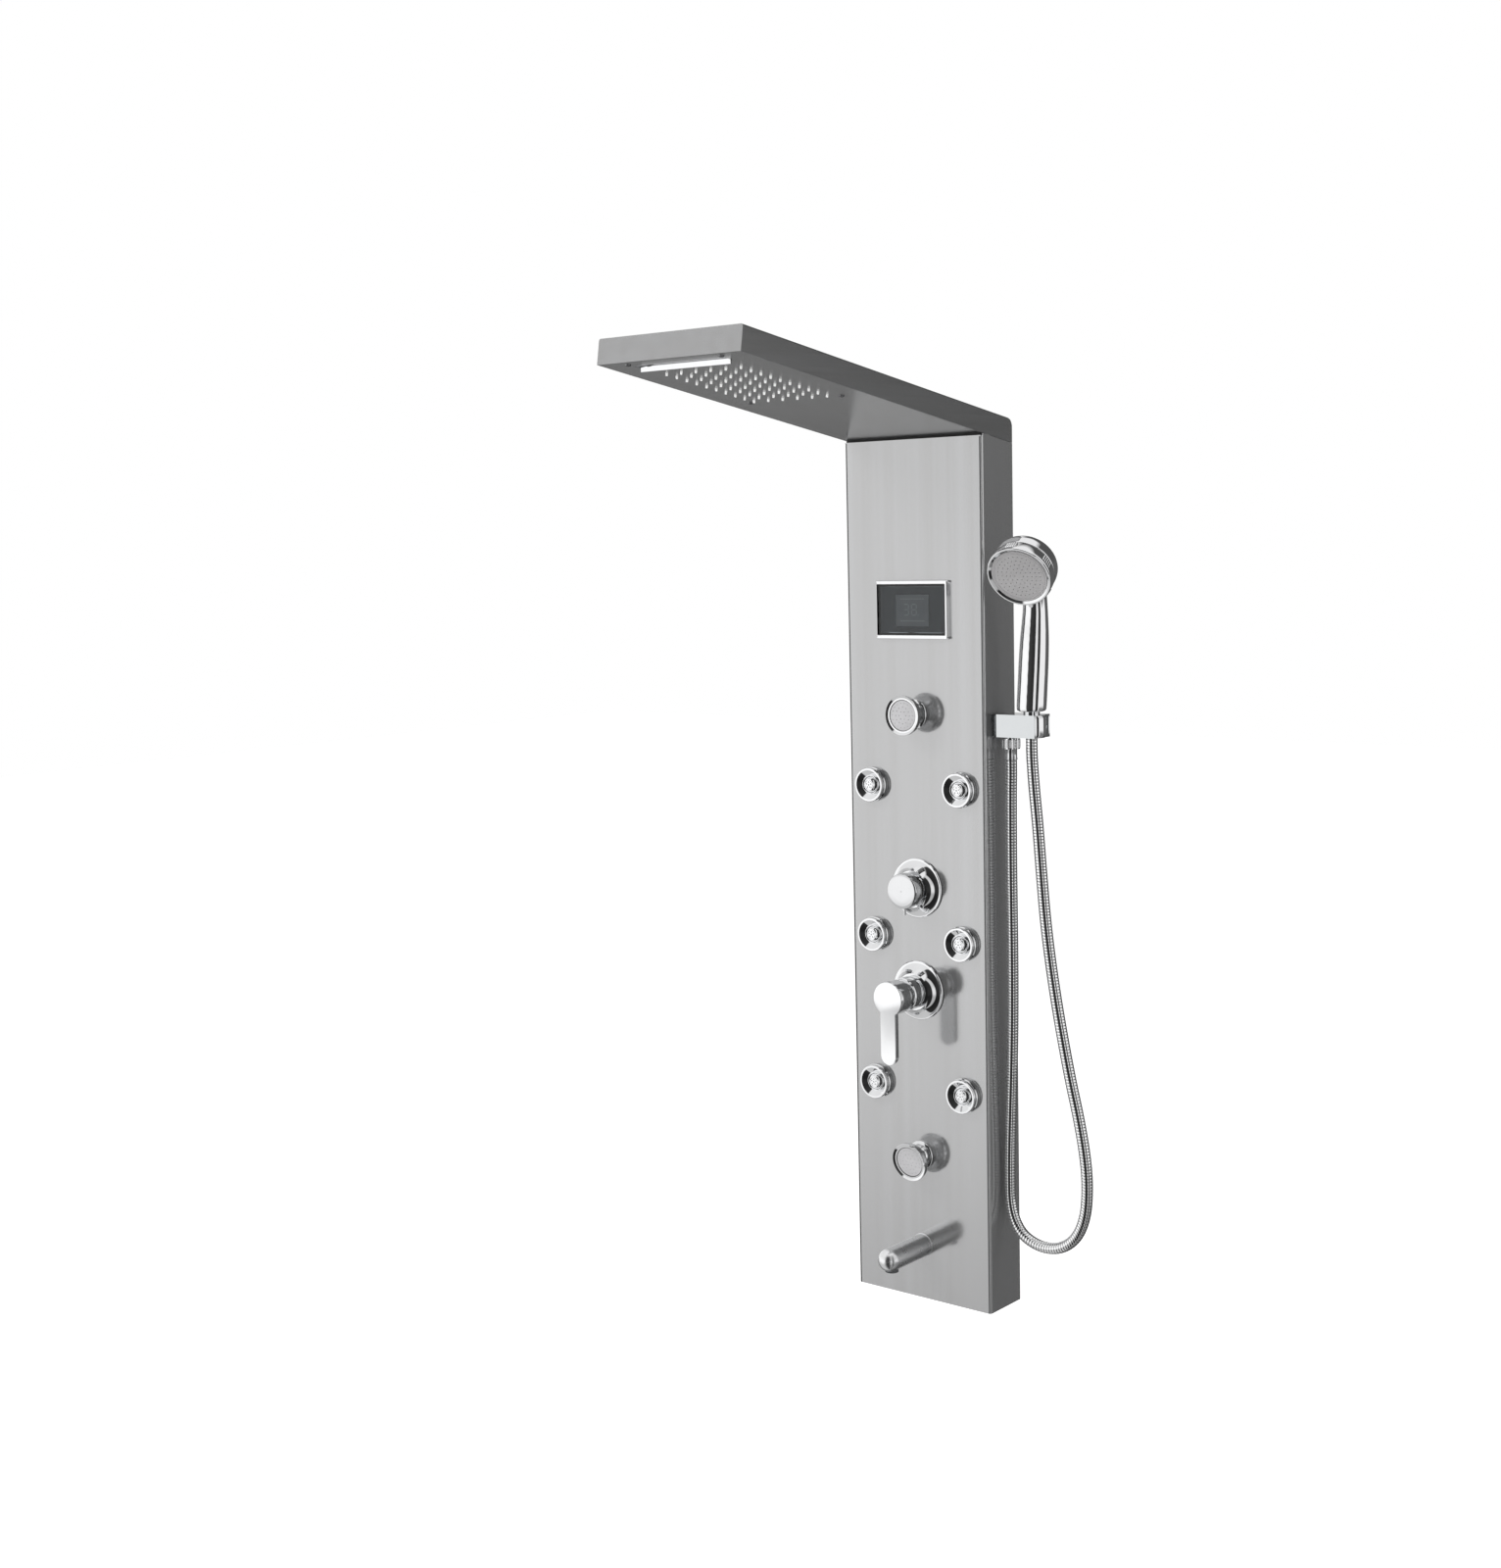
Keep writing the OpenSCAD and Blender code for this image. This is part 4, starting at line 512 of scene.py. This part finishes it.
BEVELS = {
    "column_shell": 0.0, "head_shell": 0.0, "head_plate": 0.0, "waterfall_box": 0.0,
    "display_bezel": 0.25, "display_glass": 0.1, "valve_flanges": 0.0, "mixer_sleeve": 0.0,
    "mixer_lever": 0.3, "diverter_knob": 0.0, "spray_bases": 0.0, "spray_head_upper": 0.0,
    "spray_head_lower": 0.0, "tub_spout": 0.0, "spout_aerator": 0.1, "outlet_bracket": 0.35,
    "cone_nut": 0.2, "selector_ring": 0.0, "handset_plate": 0.0,
    "jet_housings": 0.0, "head_screws": 0.0, "rain_nozzles": 0.0,
    "spray_plate_upper": 0.1, "spray_plate_lower": 0.1,
}
for jet in range(1, 7):
    BEVELS[f"jet_ball_{jet}"] = 0.15
OWN_LOOK = {"head_shell": MATERIALS["head_steel"], "head_plate": MATERIALS["head_steel"],
            "spray_plate_upper": SPRAY_PLATE, "spray_plate_lower": SPRAY_PLATE, "head_screws": SCREW_STEEL,
            "tub_spout": SPOUT_CHROME, "outlet_bracket": BRACKET_CHROME,
            "mixer_lever": LEVER_CHROME, "diverter_knob": KNOB_CHROME}


# The bezel's half width and half height, how much slimmer its front is, where its window begins, and
# the height over which it narrows
BEZEL_HALF = (54.5, 35.5)
BEZEL_SLIMMER = (2.6, 1.2)
BEZEL_WINDOW = (50.5, 31.5)
BEZEL_RISE = 6.0
# Left strip of the bezel, drawn in the sheet's brushed steel as a painted reflection of the sheet beside it
LEFT_STRIP_X = -50.0
NOZZLE_TIP = -2.6
# Width of the column's left front edge, which gets a painted shade
FOLD_BAND = 5.0


def slim_bezel(point):
    """Narrows the bezel's front, so that its sides flare out to the column."""
    local = on_front(0, DISPLAY_Z).inverted() @ (point / MM)
    if abs(local.x) > BEZEL_WINDOW[0] or abs(local.y) > BEZEL_WINDOW[1]:
        rise = min(1.0, max(0.0, local.z / BEZEL_RISE))
        for i in (0, 1):
            limit = BEZEL_HALF[i] - BEZEL_SLIMMER[i] * rise
            local[i] = max(-limit, min(limit, local[i]))
    return MM * (on_front(0, DISPLAY_Z) @ local)


def short_nozzle(point):
    """Shortens the nozzles' tips below the head."""
    local = on_head().inverted() @ (point / MM)
    local.z = max(local.z, NOZZLE_TIP)
    return MM * (on_head() @ local)


def two_toned(obj, material, chosen):
    """A second surface for the faces that are chosen by their centre, in millimetres."""
    obj.data.materials.append(material)
    for face in obj.data.polygons:
        if chosen(face.center / MM, face.normal):
            face.material_index = 1


def on_left_fold(at, normal):
    """The column's rounded edge between its front and its left side, where a painted shade goes."""
    near = at.x < FOLD_BAND - HALF_W and at.y < FOLD_BAND - COLUMN_D
    return near and normal.x < -0.05 and normal.y < -0.05


SHAPES = {"display_bezel": slim_bezel, "rain_nozzles": short_nozzle}
looks = {node: dress(node, bevel, OWN_LOOK.get(node), shape=SHAPES.get(node))
         for node, bevel in BEVELS.items()}
# Painted shade: the column's left fold is drawn in nearly black steel
two_toned(looks["column_shell"], FOLD_SHADE_STEEL, on_left_fold)
# Painted reflection: the bezel's left strip takes the sheet's steel
two_toned(looks["display_bezel"], MATERIALS["stainless"], lambda at, normal: at.x < LEFT_STRIP_X)


# Hand shower body: handle and back drawn into one smooth form

GRIP = [(0, 0, 0), (0, 0, 5), (0, 1.5, 30), (0, 3, 60), (0, 4, 85), (0, 4.5, 104), (0, 4, 120),
        (0, 1, 136), (0, -6, 150), (0, -16, 160)]
# How much thinner than HANDLE_R the handle is at each of those points
GRIP_TAPER = [0.8, 0, 0, 0.1, 0.8, 2, 3, 3.6, 4.4, 6]
HANDLE_R = 17.6
SHOWER_R = 39.0
RING_DEPTH = 13.0
SHOWER_DEPTH = 38.0
# The back's outline, by how far it lies inside the shower's radius and behind its face
BACK = [(SHOWER_R, RING_DEPTH + 0.6), (1.0, RING_DEPTH + 0.6), (0.6, RING_DEPTH + 1.2), (0.8, 24),
        (1.6, 28.5), (3.4, 32.2), (6.4, 35.4), (12, SHOWER_DEPTH), (22, SHOWER_DEPTH + 1.2),
        (SHOWER_R, SHOWER_DEPTH + 1.6)]
CURVE_STEPS = 8


def build_handset(bm):
    line = smooth_line(GRIP, CURVE_STEPS)
    tapers = smooth_line([(t, 0, 0) for t in GRIP_TAPER], CURVE_STEPS)
    add_tube(bm, line, lambda i, k: HANDLE_R - tapers[i].x, (1, 0, 0), 64)
    add_lathe(bm, [(SHOWER_R - inset, -depth) for inset, depth in BACK], 96, handle_to_face())


handset = mesh_piece("handset_shell", build_handset, in_handle(), MATERIALS["plated_plastic"], "handset",
                     180)
fuse = handset.modifiers.new("fuse", "REMESH")
fuse.mode = "VOXEL"
fuse.voxel_size = 0.8 * MM
fuse.use_smooth_shade = True
ease = handset.modifiers.new("ease", "SMOOTH")
ease.factor = 0.5
ease.iterations = 14
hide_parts("handset")

# Drum under the ring, with the hollow that the plate closes
DRUM_R = SHOWER_R - 5.0
DRUM_BORE_R = DRUM_R - 1.8
DRUM_MOUTH = -2.0
DRUM_FLOOR = -10.8


def build_drum(bm):
    foot = -RING_DEPTH - 1
    add_lathe(bm, [(0, foot), (DRUM_R, foot), (DRUM_R, DRUM_MOUTH), (DRUM_BORE_R, DRUM_MOUTH),
                   (DRUM_BORE_R, DRUM_FLOOR), (0, DRUM_FLOOR)])


mesh_piece("handset_drum", build_drum, in_face(), MATERIALS["plated_plastic"], "handset")


# Nodes that stay as they are get their slot's surface

for node, obj in frame["nodes"].items():
    if not obj.hide_render:
        obj.data.materials.clear()
        obj.data.materials.append(MATERIALS[SLOT_OF[node]])


# Display screen with plain seven-segment numerals

SEGMENTS = {"3": "abgcd", "8": "abcdefg"}
DIGIT_W = 7.0
DIGIT_H = 13.0
STROKE = 1.2
SCREEN_FOOT = 1.3
SCREEN_TOP = 1.62
NUMERAL_FOOT = 1.4
NUMERAL_TOP = 1.64
# Rows of small marks above and below the numerals: how many, the first one's place and their spacing
MARKS = 9
MARK_X = -16.0
MARK_STEP = 4.0


def add_bar(bm, x, y, w, h, low, high):
    """Block about x and y, between two heights."""
    corners = [(x + a * w / 2, y + b * h / 2) for a, b in ((-1, -1), (1, -1), (1, 1), (-1, 1))]
    bottom = [bm.verts.new((*c, low)) for c in corners]
    top = [bm.verts.new((*c, high)) for c in corners]
    bm.faces.new(list(reversed(bottom)))
    bm.faces.new(top)
    for k in range(4):
        bm.faces.new((bottom[k], bottom[(k + 1) % 4], top[(k + 1) % 4], top[k]))


def build_digits(bm):
    def mark(x, y, w, h):
        add_bar(bm, x, y, w, h, NUMERAL_FOOT, NUMERAL_TOP)

    half, quarter = DIGIT_H / 2, DIGIT_H / 4
    flat, upright = (DIGIT_W - 1.8, STROKE), (STROKE, half - 1.6)
    places = {"a": (0, half, flat), "g": (0, 0, flat), "d": (0, -half, flat),
              "f": (-DIGIT_W / 2, quarter, upright), "b": (DIGIT_W / 2, quarter, upright),
              "e": (-DIGIT_W / 2, -quarter, upright), "c": (DIGIT_W / 2, -quarter, upright)}
    for digit, x in (("3", -9.0), ("8", 2.5)):
        for segment in SEGMENTS[digit]:
            px, py, size = places[segment]
            mark(x + px, py, *size)
    mark(8.6, -half, 1.3, 1.3)
    for k in range(MARKS):
        mark(MARK_X + k * MARK_STEP, -13.5, 3.0, 1.4)
        mark(MARK_X + k * MARK_STEP, 12.8, 2.6, 1.0)


mesh_piece("display_numerals", build_digits, on_front(0, DISPLAY_Z), DIGIT, "column")


def build_screen(bm):
    add_bar(bm, 0, -1, 48, 38, SCREEN_FOOT, SCREEN_TOP)


mesh_piece("display_screen", build_screen, on_front(0, DISPLAY_Z), LCD, "column")


# Rims of the jets, the sprays and the hand shower, with the slopes that catch the light and the dark.
# Each outline gives how far a point lies inside the piece's radius, and its height.

JET_R = 21.5
JET_BORE_R = 11.7
JET_X = 65.0
JET_LOW = 268.0
JET_STEP = 187.0
JET_RIM = [(0.6, 4.8), (0.4, 8.6), (0.9, 9.8), (1.2, 10.05), (3.4, 10.05), (3.8, 9.8),
           (JET_R - JET_BORE_R, 5.4), (JET_R - JET_BORE_R, 4.8)]
SPRAY_R = 24.0
SPRAY_FACE = 26.4
SPRAY_BALL = 4.0
# Height on the column, and how far the spray hangs down at rest
SPRAYS = {"upper": (731.0, 0.0), "lower": (183.0, 8.0)}
# Black ring inside each spray's rim: a painted shadow of the rim
SPRAY_SHADE_RING = [(5.7, -0.62), (4.8, -0.62), (4.8, -0.42), (5.7, -0.52)]
SPRAY_RIM = [(1.6, -3.6), (-0.15, -3.4), (-0.1, 1.1), (0.1, 1.4), (2.9, 0.05), (4.9, 0.05), (4.9, -0.8)]
RING_SLOPE = [(0.5, 0), (0.5, 0.8), (0.9, 1.15), (2.4, 1.15), (5.0, -0.45), (5.0, -0.9)]
PLATE_EDGE = [(7.5, -0.9), (5.3, -0.9), (5.3, -0.3), (5.8, -0.02), (6.2, -0.3), (7.5, -0.7)]


def ring_piece(name, outline, radius, level, matrix, slot, body, segments, angle):
    """A turned ring from an outline that is measured inwards from a radius and up from a level."""
    profile = [(radius - inset, level + height) for inset, height in outline]

    def build(bm):
        add_lathe(bm, profile, segments)

    mesh_piece(name, build, matrix, MATERIALS[slot], body, angle)


def build_jet_rims(bm):
    profile = [(JET_R - inset, height) for inset, height in JET_RIM]
    for row in (2, 1, 0):
        for side in (-1, 1):
            add_lathe(bm, profile, 64, on_front(side * JET_X, JET_LOW + row * JET_STEP))


mesh_piece("jet_rims", build_jet_rims, Matrix.Identity(4), MATERIALS["chrome"], "column", 28)

for which, (height, tilt) in SPRAYS.items():
    in_spray = on_front(0, height) @ place(0, 0, SPRAY_BALL) @ turn(tilt, "X") @ place(0, 0, -SPRAY_BALL)
    body = BODY_OF[f"spray_head_{which}"]
    # Painted shadow: a thin black ring in the groove of each spray's rim
    ring_piece(f"spray_shade_ring_{which}", SPRAY_SHADE_RING, SPRAY_R, SPRAY_FACE, in_spray, "rubber", body, 64, 32)
    ring_piece(f"spray_rim_{which}", SPRAY_RIM, SPRAY_R, SPRAY_FACE, in_spray, "chrome", body, 96, 18)

ring_piece("ring_slope", RING_SLOPE, SHOWER_R, 0, in_face(), "chrome", BODY_OF["selector_ring"], 96, 16)
ring_piece("plate_edge", PLATE_EDGE, SHOWER_R, 0, in_face(), "grey_plate", BODY_OF["handset_plate"], 96, 40)


# Barrel-shaped end of the bracket

# Radius and centre of the barrel's round front, and how far it sweeps to each side
END_R = 14.6
END_AT = (52.0, -7.2)
END_SWEEP = 61
END_STEPS = 28
END_ROOT_X = 56.0
END_TIP_X = 61.6
END_BACK_Y = 13.2
# Heights, and how far the outline is drawn in there
END_LEVELS = [(-13.2, 1.4), (-12.2, 0.6), (-9.5, 0.15), (-4, 0),
              (4, 0), (9.5, 0.15), (12.2, 0.6), (13.2, 1.4)]


def build_end(bm):
    rings = []
    for z, inset in END_LEVELS:
        radius, back = END_R - inset, END_BACK_Y - inset
        angles = [math.radians(END_SWEEP * (2 * k / END_STEPS - 1)) for k in range(END_STEPS + 1)]
        outline = [(END_AT[0] + radius * math.cos(a), END_AT[1] + radius * math.sin(a)) for a in angles]
        outline += [(END_TIP_X - inset, back), (END_ROOT_X, back), (END_ROOT_X, outline[0][1])]
        rings.append([bm.verts.new((x, y, z)) for x, y in outline])
    for low, high in zip(rings, rings[1:]):
        for k in range(len(low)):
            n = (k + 1) % len(low)
            bm.faces.new((low[k], low[n], high[n], high[k]))
    bm.faces.new(list(reversed(rings[0])))
    bm.faces.new(rings[-1])


bracket_end = mesh_piece("bracket_end", build_end, in_bracket(), MATERIALS["chrome"],
                         BODY_OF["bracket_cap"], 40)
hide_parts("bracket_cap")


# Bright sloped facing of the waterfall blade

# Reach of the blade along the head's slope, and its width
FALL_REACH = 408.5
FALL_W = 125.0
LIP_GAP = 0.15
LIP_LOW = -4.1
LIP_HIGH = 4.2
LIP_EDGE = 0.3
LIP_SLOPE = 1.7


def build_lip(bm):
    foot = -FALL_REACH - LIP_GAP
    edge = foot - LIP_EDGE
    outline = [(foot, LIP_LOW), (edge, LIP_LOW), (edge - LIP_SLOPE, LIP_HIGH), (foot, LIP_HIGH)]
    ends = [[bm.verts.new((side * FALL_W / 2, y, z)) for y, z in outline] for side in (-1, 1)]
    bm.faces.new(ends[0])
    bm.faces.new(list(reversed(ends[1])))
    for k in range(4):
        n = (k + 1) % 4
        bm.faces.new((ends[0][n], ends[0][k], ends[1][k], ends[1][n]))


mesh_piece("fall_lip", build_lip, on_head(), MATERIALS["chrome"], "column")


# Stage, world and lamps

FLOOR_Z = -1.5
FLOOR_SIZE = 12
FLOOR_GLOW = 0.62
# Strength of the world for what isn't glossy
FILL = 0.55
# What polished metal sees round it: direction in degrees from +X towards +Y, and tone
STUDIO = [(0, 0.85), (40, 0.85), (47, 0.1), (116, 0.1), (128, 0.9), (236, 1.0), (258, 0.95), (263, 0.05),
          (310, 0.02), (313, 0.75), (329, 0.75), (332, 0.03), (350, 0.03), (354, 0.85), (359, 0.85)]
# Share of that tone by the height of the direction, from straight down at -1 to straight up at 1
UPWARDS = [(-0.42, 0.6), (-0.33, 0.77), (-0.27, 0.97), (-0.19, 1.1), (0.06, 1.12), (0.25, 0.86),
           (1.0, 0.86)]


def combined(tree, operation, first, second):
    """Math on two outputs."""
    node = add_node(tree, "ShaderNodeMath", operation=operation)
    tree.links.new(first, node.inputs[0])
    tree.links.new(second, node.inputs[1])
    return node.outputs[0]


def tone_ramp(tree, value, stops, blue=1.0):
    """Greys at their places along a ramp, with blue as the share of blue in them."""
    ramp = add_node(tree, "ShaderNodeValToRGB")
    while len(ramp.color_ramp.elements) < len(stops):
        ramp.color_ramp.elements.new(0.5)
    for element, (at, tone) in zip(ramp.color_ramp.elements, stops):
        element.position = at
        element.color = (tone, tone, tone * blue, 1)
    tree.links.new(value, ramp.inputs["Fac"])
    return ramp.outputs["Color"]


def white_background(tree, strength):
    node = add_node(tree, "ShaderNodeBackground", Strength=strength)
    node.inputs["Color"].default_value = (1, 1, 1, 1)
    return node.outputs[0]


def chosen_shader(tree, factor, first, second):
    """The first shader where the factor is 0, and the second where it is 1."""
    node = add_node(tree, "ShaderNodeMixShader")
    tree.links.new(factor, node.inputs[0])
    tree.links.new(first, node.inputs[1])
    tree.links.new(second, node.inputs[2])
    return node.outputs[0]


def make_floor():
    """White floor that no polished surface mirrors. Its glow is for the camera alone."""
    bm = bmesh.new()
    bmesh.ops.create_grid(bm, x_segments=1, y_segments=1, size=FLOOR_SIZE)
    mesh = bpy.data.meshes.new("floor")
    bm.to_mesh(mesh)
    bm.free()
    floor = link("floor", mesh)
    floor.location = (0, 0, FLOOR_Z)
    material, tree, shader = new_material("floor")
    grain = scaled_noise(tree, (3, 3, 3), 2.0)
    tree.links.new(mixed(tree, grain, (0.9, 0.9, 0.9), (0.92, 0.92, 0.92)), shader.inputs["Base Color"])
    shader.inputs["Roughness"].default_value = 0.9
    shader.inputs["Specular IOR Level"].default_value = 0.1
    glow = add_node(tree, "ShaderNodeEmission")
    seen = add_node(tree, "ShaderNodeLightPath").outputs["Is Camera Ray"]
    tree.links.new(ranged(tree, seen, 0.0, FLOOR_GLOW, 0.0, 1.0), glow.inputs["Strength"])
    both = add_node(tree, "ShaderNodeAddShader")
    tree.links.new(shader.outputs[0], both.inputs[0])
    tree.links.new(glow.outputs[0], both.inputs[1])
    tree.links.new(both.outputs[0], tree.nodes["Material Output"].inputs["Surface"])
    mesh.materials.append(material)
    floor.visible_glossy = False


def make_world():
    """White for the camera. Metal and glass see a studio with a light wall and a dark one."""
    world = bpy.data.worlds.new("studio")
    bpy.context.scene.world = world
    world.use_nodes = True
    tree = world.node_tree
    tree.nodes.clear()
    output = add_node(tree, "ShaderNodeOutputWorld")
    coords = add_node(tree, "ShaderNodeTexCoord")
    parts = add_node(tree, "ShaderNodeSeparateXYZ")
    tree.links.new(coords.outputs["Generated"], parts.inputs[0])
    circle = add_node(tree, "ShaderNodeMath", operation="WRAP")
    around = combined(tree, "ARCTAN2", parts.outputs["Y"], parts.outputs["X"])
    tree.links.new(around, circle.inputs[0])
    circle.inputs[1].default_value = 2 * math.pi
    circle.inputs[2].default_value = 0.0
    bearing = ranged(tree, circle.outputs[0], 0.0, 1.0, 0.0, 2 * math.pi)
    rise = ranged(tree, parts.outputs["Z"], 0.0, 1.0, -1.0, 1.0)
    walls = combined(tree, "MULTIPLY",
                     tone_ramp(tree, bearing, [(degrees / 360, tone) for degrees, tone in STUDIO], 1.01),
                     tone_ramp(tree, rise, [(0.5 + 0.5 * height, share) for height, share in UPWARDS]))
    # Behind the panel the floor is dark, and right overhead there is a bright ceiling
    low = ranged(tree, parts.outputs["Z"], 0.2, 1.0, -0.2, -0.1)
    front = ranged(tree, parts.outputs["Y"], 1.3, 0.0, -0.05, 0.05)
    walls_and_floor = combined(tree, "MINIMUM", walls, combined(tree, "MAXIMUM", low, front))
    ceiling = ranged(tree, parts.outputs["Z"], 0.0, 0.9, 0.76, 0.86)
    studio = add_node(tree, "ShaderNodeBackground")
    tree.links.new(combined(tree, "MAXIMUM", walls_and_floor, ceiling), studio.inputs["Color"])
    path = add_node(tree, "ShaderNodeLightPath").outputs
    shiny = combined(tree, "MAXIMUM", path["Is Glossy Ray"], path["Is Transmission Ray"])
    lit = chosen_shader(tree, shiny, white_background(tree, FILL), studio.outputs[0])
    shown = chosen_shader(tree, path["Is Camera Ray"], lit, white_background(tree, 1.0))
    tree.links.new(shown, output.inputs["Surface"])


def make_lamp(name, kind, at, aim, power, **values):
    """A lamp that no polished surface mirrors, with places in metres and power in watts."""
    data = bpy.data.lights.new(name, kind)
    data.energy = power
    for key, value in values.items():
        setattr(data, key, value)
    lamp = bpy.data.objects.new(name, data)
    bpy.context.scene.collection.objects.link(lamp)
    lamp.location = at
    lamp.rotation_euler = (Vector(aim) - Vector(at)).to_track_quat("-Z", "Y").to_euler()
    lamp.visible_glossy = False


make_floor()
make_world()
make_lamp("key", "AREA", (-1.5, -2.2, 1.7), (0, 0, -0.4), 34, shape="RECTANGLE", size=1.4, size_y=1.4)
make_lamp("top", "AREA", (0.4, -0.8, 2.2), (0, -0.1, -0.2), 16, shape="RECTANGLE", size=1.6, size_y=1.0)
make_lamp("strip", "AREA", (1.9, 0.9, 0.4), (0.1, -0.1, -0.3), 6, shape="RECTANGLE", size=0.16, size_y=2.0)
make_lamp("nozzle_light", "SPOT", (0.2, -1.1, -0.9), (0, -0.37, 0.18), 60,
          spot_size=math.radians(20), spot_blend=0.4, shadow_soft_size=0.1)
bpy.context.scene.view_settings.view_transform = "Standard"
